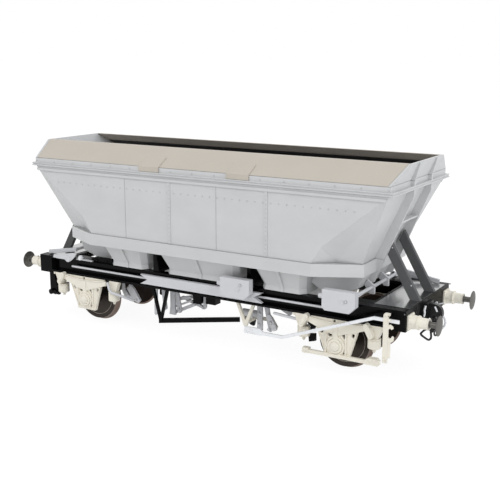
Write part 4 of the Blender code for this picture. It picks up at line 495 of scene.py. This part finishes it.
CUP_PROFILE = [(11.2, 0), (11.2, 0.4), (11.6, 0.6), (12.3, 0.75), (12.5, 1.25), (12.9, 1.4), (13.0, 2.35),
               (13.2, 2.55), (16.2, 2.55), (16.3, 2.35), (16.5, 2.35), (16.6, 2.6), (16.95, 2.6),
               (17.05, 2.45), (17.05, 0)]
CUP_BRACKET = [(13.4, SOLEBAR_FOOT), (13.4, 19.4), (14.4, 17.0), (16.8, 16.9), (18.9, SOLEBAR_FOOT)]
CUP_BRACKET_DEPTH = (-23.9, -21.6)
# Each layer of a damper: top (x, z), foot (x, z), half width, depth
DAMPER_LAYERS = [
    ((12.7, 22.0), (14.6, 18.6), 1.15, (-26.2, -24.0)),
    ((12.9, 21.5), (14.3, 19.1), 0.6, (-26.4, -26.1)),
]
LUG_X, LUG_DEPTH, LUG_Z = (18.5, 19.4), (-24.2, -22.4), (21.3, SOLEBAR_FOOT)
YOKE_X, YOKE_DEPTH, YOKE_Z = (-13.5, 14.0), (-25.9, -24.5), (7.3, 8.7)
YOKE_TOE = [(12.4, 7.3), (18.2, 7.3), (18.2, 9.1), (17.4, 9.9), (14.2, 9.9), (12.4, 8.8)]
YOKE_TOE_DEPTH = (-26.3, -23.6)
YOKE_HEEL_X, YOKE_HEEL_DEPTH, YOKE_HEEL_Z = (-13.9, -11.2), (-26.1, -23.8), (7.2, 9.3)
YOKE_RIVETS = [(14.6, -26.3, 8.8), (16.6, -26.3, 8.8), (-12.5, -26.1, 8.2)]


def mirrored(points, sx):
    """Places (x, z) with x times 1 or -1."""
    return [(sx * x, z) for x, z in points]


def guard_relief(outline, proud):
    """An outline that stands out of the guard plate by a distance, seated a little in it."""
    return slab(outline, "y", GUARD_FACE - proud, GUARD_FACE + GUARD_SEAT)


def guard_bar(x, z, proud):
    """A bar with the spans x and z that stands out of the guard plate by a distance."""
    return box(x, (GUARD_FACE - proud, GUARD_FACE + GUARD_SEAT), z)


def guard_plate():
    """The pierced plate, its packing and the raised spring, whose top is middle + rise * t squared."""
    spread = np.linspace(-1, 1, BOW_STEPS)
    bow_top = np.stack([BOW_HALF * spread, BOW_MIDDLE_Z + BOW_RISE * spread**2], -1)
    shells = [pierced(GUARD_PLATE, GUARD_HOLES, "y", GUARD_FACE, GUARD_BACK),
              pierced(PACKING, PACKING_SLOTS, "y", *PACKING_DEPTH),
              guard_relief(np.concatenate([BOW_LEFT, bow_top, BOW_RIGHT, BOW_BELLY]), BOW_PROUD),
              flat_bar(bow_top + (0, LEAF_LIFT), LEAF_HALF, GUARD_FACE - LEAF_PROUD, GUARD_FACE),
              guard_bar(PILLAR_X, PILLAR_Z, LEAF_PROUD)]
    shells += [guard_bar(jaw_x, JAW_Z, JAW_PROUD) for jaw_x in JAWS_X]
    shells += [guard_relief(edge, EDGE_PROUD) for edge in GUARD_EDGES]
    shells.append(guard_bar(FOOT_X, FOOT_Z, FOOT_PROUD))
    return shells


def spring_cup(sx):
    """The cup, a profile of (z, radius) turned about its upright middle line, and the bracket behind it."""
    return [revolve(CUP_PROFILE, "z", (sx * CUP_X, CUP_Y, 0), 32),
            slab(mirrored(CUP_BRACKET, sx), "y", *CUP_BRACKET_DEPTH)]


def damper(sx):
    """The slanted damper with its cap, and the lug beyond the cup."""
    shells = [slab(rounded_bar(*mirrored([top, foot], sx), half), "y", *depth)
              for top, foot, half, depth in DAMPER_LAYERS]
    shells.append(box(sorted(sx * x for x in LUG_X), LUG_DEPTH, LUG_Z))
    return shells


def yoke_beam():
    """The beam below the axlebox, its toe and heel and their rivets."""
    return [box(YOKE_X, YOKE_DEPTH, YOKE_Z), slab(YOKE_TOE, "y", *YOKE_TOE_DEPTH),
            box(YOKE_HEEL_X, YOKE_HEEL_DEPTH, YOKE_HEEL_Z), domes(YOKE_RIVETS, (0, -1, 0), 0.4, 0.3, 10)]


def axleguard(axle_x, beam):
    """A whole axleguard at its axle; one without the beam has no damper on its right."""
    shells = guard_plate()
    shells.append(revolve(BOX_PROFILE, "y", (0, 0, AXLE_Z), 48))
    shells.append(guard_relief(BOX_SEAT, BOX_SEAT_PROUD))
    for sx in (1, -1):
        shells += spring_cup(sx)
        if beam or sx < 0:
            shells += damper(sx)
    if beam:
        shells += yoke_beam()
    return [(points + (axle_x, 0, 0), faces) for points, faces in shells]


for axle_x, beam, near_name, far_name in ((AXLE_X, True, "near_right", "far_left"),
                                          (-AXLE_X, False, "near_left", "far_right")):
    guard = axleguard(axle_x, beam)
    for place_name, shells in ((near_name, guard), (far_name, half_turned(guard))):
        replaced = ("axleguard_" + place_name,)
        piece("guard_" + place_name, shells, CREAM, replaced=replaced, bevel=0.09)

# Buffers: ribbed housing, dark ram and thin domed head, as profiles of (x from the headstock, radius)
SLEEVE = [(0.3, 0), (0.3, 3.0), (0.8, 2.75), (1.2, 2.6), (3.3, 2.45), (3.35, 2.75), (3.9, 2.75), (3.95, 2.3),
          (4.1, 2.2), (7.2, 2.05), (7.3, 2.2), (7.7, 2.2), (7.7, 0)]
RAM = [(7.5, 0), (7.5, 1.5), (7.8, 1.5), (7.85, 1.15), (10.6, 1.15), (10.9, 1.6), (11.2, 3.6), (11.28, 3.85),
       (11.4, 3.85), (11.5, 3.5), (11.6, 2.4), (11.66, 1.2), (11.7, 0)]
BASE_HALF, BASE_DEPTH = 2.9, 0.7
RIB_START, RIB_END, RIB_LOW, RIB_HALF = 0.6, 3.3, 2.2, 0.25
RIB_TIP_UPRIGHT, RIB_TIP_LEVEL = 2.5, 2.6
BASE_BOLT_OUT, BASE_BOLT = 2.4, (0.32, 0.3)


def buffer_rib(middle, tip, sign):
    """A rib's outline beside the sleeve: it runs from the base plate's edge down to the tip."""
    start, end = HEADSTOCK_X + RIB_START, HEADSTOCK_X + RIB_END
    return [(start, middle + sign * RIB_LOW), (start, middle + sign * BASE_HALF), (end, middle + sign * tip),
            (end, middle + sign * RIB_LOW)]


def buffer_housing(y):
    """The turned sleeve, the square base plate with its bolts and four ribs."""
    bolt_places = [(HEADSTOCK_X + BASE_DEPTH, y + sy * BASE_BOLT_OUT, BUFFER_Z + sz * BASE_BOLT_OUT)
                   for sy in (1, -1) for sz in (1, -1)]
    shells = [revolve(SLEEVE, "x", (HEADSTOCK_X, y, BUFFER_Z), 40),
              box((HEADSTOCK_X, HEADSTOCK_X + BASE_DEPTH), (y - BASE_HALF, y + BASE_HALF),
                  (BUFFER_Z - BASE_HALF, BUFFER_Z + BASE_HALF)),
              domes(bolt_places, (1, 0, 0), *BASE_BOLT)]
    for sign in (1, -1):
        shells.append(slab(buffer_rib(BUFFER_Z, RIB_TIP_UPRIGHT, sign), "y", y - RIB_HALF, y + RIB_HALF))
    for sign in (1, -1):
        shells.append(slab(buffer_rib(y, RIB_TIP_LEVEL, sign), "z", BUFFER_Z - RIB_HALF, BUFFER_Z + RIB_HALF))
    return shells


for right_name, left_name, y in (("right_near", "left_far", -BUFFER_Y), ("right_far", "left_near", BUFFER_Y)):
    ram = [revolve(RAM, "x", (HEADSTOCK_X, y, BUFFER_Z), 48)]
    for shells, name, node_name, look, finish in (
            (buffer_housing(y), "buffer_sleeve_", "buffer_housing_", CREAM, "cream"),
            (ram, "buffer_head_", "buffer_ram_", BUFFER, "buffer_metal")):
        for place_name, placed in ((right_name, shells), (left_name, half_turned(shells))):
            replaced = (node_name + place_name,)
            piece(name + place_name, placed, look, replaced=replaced, bevel=0.06)

# Screw couplings: hook plate, hook, links, threaded screw and hanging shackle
HOOK_PLATE_DEPTH, HOOK_PLATE_Y, HOOK_PLATE_Z = 0.8, (-3.4, 3.4), (21.2, 27.6)
HOOK = [(91.2, 27.2), (93.6, 27.2), (95.6, 26.3), (96.6, 24.6), (96.7, 22.6), (95.6, 21.7), (94.4, 22.4),
        (93.6, 21.3), (91.2, 21.4)]
HOOK_HALF = 1.0
COUPLING_LINK = [(95.2, 1.3, 23.0), (95.6, 1.9, 21.4), (94.8, 2.1, 18.4), (93.6, 2.0, 16.6)]
SCREW_X, SCREW_FOOT_Z, SCREW_RADIUS, SCREW_LENGTH = 93.2, 16.8, 0.8, 4.6
TRUNNIONS = [(2.6, 93.3, 16.8), (2.4, 93.2, 21.2)]
THREAD_LIFT, THREAD_RADIUS, THREAD_WIRE, THREAD_LENGTH, THREAD_TURNS = 0.2, 1.05, 0.34, 4.0, 4
SHACKLE = [(92.9, -1.6, 17.6), (91.1, -2.7, 17.1), (89.9, -4.3, 16.0), (89.9, -4.4, 15.1), (91.5, -2.0, 12.9),
           (92.1, -1.0, 12.6), (92.5, -0.4, 13.5), (92.3, -0.8, 16.4)]
SMALL_RING = [(93.4, 0.2, 16.2), (93.6, 0.1, 14.6), (93.9, 0.7, 14.1), (94.1, 1.4, 14.5), (94.0, 1.5, 15.6),
              (93.6, 1.0, 16.6)]
LINK_WIRE, SHACKLE_WIRE, RING_WIRE = 0.4, 0.42, 0.36


def screw_coupling():
    """Flat hook, round bars swept along smooth paths, and a screw that is a rod in a coil of wire."""
    shells = [box((HEADSTOCK_X, HEADSTOCK_X + HOOK_PLATE_DEPTH), HOOK_PLATE_Y, HOOK_PLATE_Z),
              slab(smooth_path(HOOK, 4), "y", -HOOK_HALF, HOOK_HALF)]
    for sy in (1, -1):
        shells.append(sweep(smooth_path([(x, sy * y, z) for x, y, z in COUPLING_LINK]), LINK_WIRE, 10))
    for half, x, z in TRUNNIONS:
        trunnion = [(-half, 0), (-half, SCREW_RADIUS), (half, SCREW_RADIUS), (half, 0)]
        shells.append(revolve(trunnion, "y", (x, 0, z), 16))
    screw = [(0, 0), (0, SCREW_RADIUS), (SCREW_LENGTH, SCREW_RADIUS), (SCREW_LENGTH, 0)]
    shells.append(revolve(screw, "z", (SCREW_X, 0, SCREW_FOOT_Z), 14))
    thread_foot = (SCREW_X, 0, SCREW_FOOT_Z + THREAD_LIFT)
    shells.append(coil(thread_foot, "z", THREAD_RADIUS, THREAD_WIRE, THREAD_LENGTH, THREAD_TURNS))
    shells.append(sweep(smooth_path(SHACKLE), SHACKLE_WIRE, 10, "x"))
    shells.append(sweep(smooth_path(SMALL_RING), RING_WIRE, 10, "x"))
    return shells


coupler = screw_coupling()
for side_name, shells in (("right", coupler), ("left", half_turned(coupler))):
    replaced = ("coupling_" + side_name,)
    piece("screw_coupling_" + side_name, shells, DARK_METAL, replaced=replaced, bevel=0.05)

# Glossy sheet on each end platform
SHEET_X, SHEET_Y = (76.5, 90.3), (-20.0, 20.0)
SHEET_LIFT, SHEET_THICKNESS = 0.02, 0.12
sheet_foot = DECK_Z + SHEET_LIFT
sheet = box(SHEET_X, SHEET_Y, (sheet_foot, sheet_foot + SHEET_THICKNESS))
piece("deck_sheets", both_halves([sheet]), DECK)

# Small bolts on the struts and the headstocks' corners
STRUT_BOLTS = [(86.5, -8.6, 35.4), (78.3, -8.6, 49.3)]
CORNER_BOLTS = [(90.72, -25.3, 28.9), (90.72, 25.3, 28.9)]
strut_heads = domes(STRUT_BOLTS, (0, -1, 0), 0.32, 0.25, 10)
corner_heads = domes(CORNER_BOLTS, (1, 0, 0), 0.3, 0.25, 10)
piece("strut_bolts", both_halves([strut_heads]), PALE)
piece("corner_bolts", both_halves([corner_heads]), STRUT_BLACK)

# Short pipes and taps on the headstocks, as (x from the headstock, y, z), and the tap beside the hook
PIPES = [
    ([(0.9, -7.4, 23.6), (1.2, -7.4, 25.0), (1.0, -7.2, 26.2), (1.3, -6.9, 27.8)], 0.42, 10),
    ([(0.6, 5.6, 25.6), (1.6, 5.6, 25.2), (2.2, 5.4, 24.0), (2.4, 5.0, 22.6)], 0.4, 10),
    ([(0.6, 9.6, 24.2), (1.8, 9.8, 24.6), (3.0, 9.9, 25.2)], 0.25, 8),
]
HOOK_TAP, HOOK_TAP_RADIUS = [(93.7, -1.2, 26.3), (94.2, -1.2, 25.4), (94.7, -1.2, 24.4)], 0.36
pipes = [sweep(smooth_path(path) + (HEADSTOCK_X, 0, 0), radius, steps) for path, radius, steps in PIPES]
pipes.append(sweep(HOOK_TAP, HOOK_TAP_RADIUS, 8))
piece("end_pipes", both_halves(pipes), WHITE)

# Lever guides: a post with guide bar, top bracket, hooks and bolts, as boxes (x, y, z) and outlines (x, z)
POST_BOXES = [
    ((83.9, 85.8), (-29.1, -28.1), (10.3, 28.6)),
    ((85.6, 86.8), (-28.9, -28.2), (12.4, 18.9)),
    ((84.0, 85.8), (-29.2, -26.4), (28.0, 29.0)),
    ((84.3, 85.6), (-29.4, -28.0), (28.4, 29.4)),
]
POST_HOOKS = [
    [(85.6, 25.0), (86.6, 25.3), (87.6, 24.7), (87.8, 23.9), (87.2, 23.4), (86.7, 24.0), (85.6, 23.0)],
    [(85.6, 18.6), (86.9, 18.3), (87.9, 19.2), (88.1, 20.6), (87.5, 21.1), (87.0, 20.2), (86.4, 20.0),
     (85.6, 20.6)],
]
POST_HOOK_DEPTH = (-29.0, -28.2)
POST_NUTS = [(86.3, -29.0, 27.0), (84.9, -29.2, 12.0)]
POST_ARM = ((84.2, 85.5), (-26.6, -23.8), (27.2, 28.3))
post = [box(*spans) for spans in POST_BOXES] + [slab(hook, "y", *POST_HOOK_DEPTH) for hook in POST_HOOKS]
post += nuts(POST_NUTS, "y", 0.6, -0.7)
# The arms behind the posts are black as painted shade in the gap behind each post
piece("lever_guide_arms", both_halves([box(*POST_ARM)]), BLACK, bevel=0.06)
for side_name, shells in (("near", post), ("far", half_turned(post))):
    replaced = ("lever_post_" + side_name,)
    piece("lever_guide_" + side_name, shells, CREAM, replaced=replaced, bevel=0.1)

# Brake links under each side: the bent bar, the leaning plate and the curved hanger
LINK_BAR = [(-49.2, -25.5, 21.9), (-48.3, -25.5, 19.2), (-47.4, -25.5, 17.6), (-44.8, -25.2, 17.0),
            (-41.8, -23.6, 15.8), (-38.9, -19.8, 13.5)]
LINK_BAR_RADIUS = 0.62
LINK_PLATE = [(-43.2, 20.2), (-40.8, 18.3), (-37.4, 13.2), (-38.7, 11.8), (-41.3, 12.9), (-44.9, 17.8)]
LINK_PLATE_DEPTH = (-17.5, -16.3)
LINK_HANGER = [(-46.6, 20.4), (-47.6, 19.9), (-48.0, 17.1), (-46.6, 14.2), (-43.6, 12.9), (-41.2, 12.8),
               (-41.6, 14.0), (-44.4, 15.0), (-46.2, 17.2)]
LINK_HANGER_DEPTH = (-17.3, -16.5)
LINK_NUTS = [(-43.6, -17.5, 18.4), (-39.4, -17.5, 13.4)]
link = [sweep(smooth_path(LINK_BAR), LINK_BAR_RADIUS, 12), slab(LINK_PLATE, "y", *LINK_PLATE_DEPTH),
        slab(LINK_HANGER, "y", *LINK_HANGER_DEPTH)]
link += nuts(LINK_NUTS, "y", 0.6, -0.5)
piece("brake_links", both_halves(link), PALE, replaced=("brake_link_near", "brake_link_far"),
      bevel=0.08)

# Brake gear: the upright with its foot, and the crossed levers in front of and behind it
UPRIGHT_X, UPRIGHT_DEPTH, UPRIGHT_Z = (-22.8, -20.4), (-14.6, -13.4), (12.0, 29.2)
UPRIGHT_FOOT = [(-22.8, 12.2), (-20.4, 12.2), (-20.2, 8.4), (-23.4, 8.4)]
# Each lever: start (x, z), end (x, z), half width, y, half thickness
GEAR_LEVERS = [
    ((-29.0, 22.0), (-29.2, 8.4), 0.75, -16.4, 0.5),
    ((-25.4, 20.4), (-24.4, 11.4), 0.8, -15.9, 0.5),
    ((-22.8, 8.6), (-10.6, 14.4), 0.75, -12.6, 0.6),
    ((-23.4, 10.9), (-12.4, 15.8), 0.45, -12.9, 0.4),
    ((-23.0, 14.6), (-12.2, 17.4), 0.75, -12.2, 0.6),
    ((-18.0, 16.2), (-6.5, 13.0), 0.6, -11.4, 0.6),
    ((-19.6, 18.0), (-18.3, 10.6), 1.1, -13.6, 0.4),
    ((-5.9, 18.4), (-6.2, 13.6), 0.8, -11.6, 0.5),
]
GEAR_NUTS = [(-22.6, -13.3, 8.8), (-18.6, -14.1, 11.6), (-12.6, -13.3, 17.3), (-10.9, -13.3, 14.3),
             (-6.9, -12.1, 13.2)]


def slanted(start, end, half, y, thick):
    """A flat bar with round ends between two places (x, z), with its half thickness about a distance y."""
    return slab(rounded_bar(start, end, half), "y", y - thick, y + thick)


gear = [box(UPRIGHT_X, UPRIGHT_DEPTH, UPRIGHT_Z), slab(UPRIGHT_FOOT, "y", *UPRIGHT_DEPTH)]
gear += [slanted(*lever) for lever in GEAR_LEVERS]
gear += nuts(GEAR_NUTS, "y", 0.65, -0.7)
piece("brake_levers_under", both_halves(gear), PALE,
      replaced=("brake_gear_near", "brake_gear_far"), bevel=0.08)

# Black blocks of the brake gear, as boxes (x, y, z) and plates of an outline (x, z) with a depth
BLOCK_BOXES = [((-11.3, -7.2), (-13.6, -9.0), (15.0, 22.4)), ((-4.7, 0.2), (-13.4, -9.0), (15.6, 22.4))]
BRAKE_SHAFT, BRAKE_SHAFT_PLACE = [(-4.2, 0), (-4.2, 1.3), (4.2, 1.3), (4.2, 0)], (-6.0, -10.4, 16.8)
BLOCK_PLATES = [
    ([(15.6, 16.4), (16.4, 14.0), (21.4, 12.7), (20.7, 10.3), (19.2, 10.6), (15.6, 13.4)], (-15.4, -14.2)),
    ([(44.4, 15.1), (48.1, 13.7), (47.6, 12.6), (45.7, 12.5)], (-12.6, -11.4)),
    ([(44.8, 10.3), (48.1, 10.9), (48.2, 7.7), (45.2, 6.9)], (-12.6, -11.4)),
]
BLOCK_STEM = ((45.0, 46.2), (-12.4, -11.6), (7.4, 20.4))
blocks = [box(*spans) for spans in BLOCK_BOXES]
blocks.append(revolve(BRAKE_SHAFT, "x", BRAKE_SHAFT_PLACE, 20))
blocks += [slab(outline, "y", *depth) for outline, depth in BLOCK_PLATES]
blocks.append(box(*BLOCK_STEM))
piece("brake_blocks", both_halves(blocks), BLACK, bevel=0.1)

# Pale cluster beside the blocks: cylinder, hanging plates, two slanted levers and nuts
CYLINDER = [(-3.9, 0), (-3.9, 1.3), (-3.6, 1.6), (3.6, 1.6), (3.9, 1.3), (3.9, 0)]
CYLINDER_PLACE = (19.4, -15.6, 15.8)
CLUSTER_PLATES = [
    ([(23.6, 20.8), (25.9, 20.8), (25.9, 9.7), (25.2, 9.1), (24.2, 9.1), (23.6, 9.7)], (-17.6, -16.4)),
    ([(26.3, 20.4), (28.4, 20.2), (30.2, 10.4), (29.6, 9.3), (28.6, 9.6)], (-16.6, -15.6)),
    ([(45.0, 22.4), (47.5, 22.4), (47.6, 17.8), (46.9, 17.0), (45.8, 17.2)], (-23.2, -22.2)),
]
CLUSTER_LEVERS = [
    ((29.0, 16.0), (31.6, 11.6), 1.2, -17.0, 0.5),
    ((34.6, 20.0), (44.9, 19.2), 0.5, -22.6, 0.4),
]
CLUSTER_NUTS = [(28.9, -16.7, 10.6), (30.2, -17.5, 13.9), (24.8, -17.7, 12.2), (24.8, -17.7, 17.2)]
cluster = [revolve(CYLINDER, "x", CYLINDER_PLACE, 28)]
cluster += [slab(outline, "y", *depth) for outline, depth in CLUSTER_PLATES]
cluster += [slanted(*lever) for lever in CLUSTER_LEVERS]
cluster += nuts(CLUSTER_NUTS, "y", 0.7, -0.8)
piece("brake_cluster", both_halves(cluster), PALE, bevel=0.08)

# Fittings on the end platforms, beside the tub's foot: toe plate, rod, crank arm with its hub, tray and pot
TOE_PLATE = [(48.0, 29.6), (60.4, 29.6), (60.4, 30.9), (57.8, 32.1), (48.4, 32.1)]
TOE_PLATE_DEPTH = (21.6, 22.6)
TOE_NUTS = [(51.6, 22.6, 30.6), (57.2, 22.6, 30.6)]
TOE_ROD, TOE_ROD_RADIUS = [(63.5, 21.4, 32.8), (69.5, 21.8, 30.9)], 0.45
CRANK = [(81.9, 29.3), (81.4, 30.7), (74.6, 31.7), (70.3, 32.6), (67.6, 32.7), (68.8, 30.9), (70.6, 29.2),
         (71.6, 28.6), (72.8, 28.1), (73.9, 28.3), (74.8, 29.1), (79.0, 29.1)]
CRANK_DEPTH = (24.1, 24.7)
CRANK_HUB, CRANK_HUB_PLACE = [(24.0, 0), (24.0, 1.5), (24.9, 1.5), (25.0, 1.35), (25.0, 0)], (72.8, 0, 29.6)
TRAY = ((59.2, 68.5), (22.2, 23.8), (29.6, 29.95))
POT, POT_PLACE = [(29.6, 0), (29.6, 1.1), (30.6, 1.2), (31.3, 1.0), (31.6, 0.6), (31.7, 0)], (66.5, 23.0, 0)
toe_plate = [slab(TOE_PLATE, "y", *TOE_PLATE_DEPTH)] + nuts(TOE_NUTS, "y", 0.55, 0.5)
toe_plate.append(sweep(TOE_ROD, TOE_ROD_RADIUS, 8, "y"))
crank = [slab(CRANK, "y", *CRANK_DEPTH), revolve(CRANK_HUB, "y", CRANK_HUB_PLACE, 24), box(*TRAY)]
piece("platform_plates", both_halves(toe_plate), GLOSS_BLACK, bevel=0.08)
piece("platform_cranks", both_halves(crank), PALE, bevel=0.08)
piece("platform_pots", both_halves([revolve(POT, "z", POT_PLACE, 24)]), WHITE)

# Floor, soft studio light and the white background, in metres
FLOOR_HALF, FLOOR_HEIGHT, FLOOR_TONE, FLOOR_ROUGHNESS = 6.0, -0.00005, 0.86, 0.9
FLOOR_GLOW, FLOOR_GLOW_SHARE = 1.08, 0.86
AMBIENT_COLOUR, AMBIENT_STRENGTH = (0.97, 0.985, 1.0, 1), 0.77
WHITE_LIGHT = (1, 1, 1, 1)
# Each soft box: name, place, size, power, colour
SOFT_BOXES = [
    ("key_soft_box", (-0.35, -0.75, 0.85), (0.7, 0.5), 3.0, (1, 1, 1)),
    ("fill_soft_box", (0.9, -0.25, 0.45), (0.6, 0.6), 2.7, (0.94, 0.975, 1.0)),
    ("back_soft_box", (0.1, 0.9, 0.8), (0.8, 0.5), 2.2, (1, 1, 1)),
]
LAMP_TARGET = (0, 0, 0.04)
CAMERA_LENS, CAMERA_SENSOR, CAMERA_CLIP = 63.76, 36.0, 0.01
CAMERA_PLACE = (0.2018, -0.3197, 0.1238)
CAMERA_DIP, CAMERA_TURN = 12.863, 31.008


def stage_plane(name, size, height):
    """A level square with the middle of the wagon at its centre."""
    corners = [(-size, -size, height), (size, -size, height), (size, size, height), (-size, size, height)]
    mesh = bpy.data.meshes.new(name)
    mesh.from_pydata(corners, [], [(0, 1, 2, 3)])
    plane = bpy.data.objects.new(name, mesh)
    bpy.context.scene.collection.objects.link(plane)
    return plane


def seen_ray(tree):
    """1 for rays from the camera, from gloss and through glass, else 0."""
    rays = add_node(tree, "ShaderNodeLightPath").outputs
    either = {0: rays["Is Camera Ray"], 1: rays["Is Glossy Ray"]}
    first = add_node(tree, "ShaderNodeMath", either, operation="MAXIMUM")
    both = {0: first.outputs[0], 1: rays["Is Transmission Ray"]}
    return add_node(tree, "ShaderNodeMath", both, operation="MAXIMUM").outputs[0]


def soft_box(name, place, size, power, colour):
    """A flat lamp with two sides, given in size, that looks at the wagon."""
    lamp = bpy.data.lights.new(name, "AREA")
    lamp.shape = "RECTANGLE"
    lamp.size, lamp.size_y = size
    lamp.energy = power
    lamp.color = colour
    holder = bpy.data.objects.new(name, lamp)
    bpy.context.scene.collection.objects.link(holder)
    direction = np.asarray(LAMP_TARGET, float) - np.asarray(place, float)
    holder.location = place
    holder.rotation_euler = Vector(direction).to_track_quat("-Z", "Y").to_euler()


floor = stage_plane("studio_floor", FLOOR_HALF, FLOOR_HEIGHT)
floor_material, tree, shader = new_material("pale_floor")
shader.inputs["Base Color"].default_value = (FLOOR_TONE, FLOOR_TONE, FLOOR_TONE, 1)
shader.inputs["Roughness"].default_value = FLOOR_ROUGHNESS
glow = add_node(tree, "ShaderNodeEmission", {"Color": WHITE_LIGHT, "Strength": FLOOR_GLOW})
share = add_node(tree, "ShaderNodeMath", {0: seen_ray(tree), 1: FLOOR_GLOW_SHARE}, operation="MULTIPLY")
blend = add_node(tree, "ShaderNodeMixShader", {0: share.outputs[0], 1: shader.outputs["BSDF"],
                                               2: glow.outputs["Emission"]})
tree.links.new(blend.outputs[0], tree.nodes["Material Output"].inputs["Surface"])
floor.data.materials.append(floor_material)

world = bpy.data.worlds.new("studio")
bpy.context.scene.world = world
world.use_nodes = True
tree = world.node_tree
ambient = tree.nodes["Background"]
ambient.inputs["Color"].default_value = AMBIENT_COLOUR
ambient.inputs["Strength"].default_value = AMBIENT_STRENGTH
white = add_node(tree, "ShaderNodeBackground", {"Color": WHITE_LIGHT, "Strength": 1.0})
blend = add_node(tree, "ShaderNodeMixShader", {0: seen_ray(tree), 1: ambient.outputs[0], 2: white.outputs[0]})
tree.links.new(blend.outputs[0], tree.nodes["World Output"].inputs["Surface"])

for settings in SOFT_BOXES:
    soft_box(*settings)

camera_data = bpy.data.cameras.new("photo_camera")
camera_data.lens = CAMERA_LENS
camera_data.sensor_width = CAMERA_SENSOR
camera_data.clip_start = CAMERA_CLIP
camera = bpy.data.objects.new("photo_camera", camera_data)
camera.location = CAMERA_PLACE
camera.rotation_euler = (math.radians(90 - CAMERA_DIP), 0, math.radians(CAMERA_TURN))
bpy.context.scene.collection.objects.link(camera)
bpy.context.scene.camera = camera
bpy.context.scene.view_settings.view_transform = "Standard"
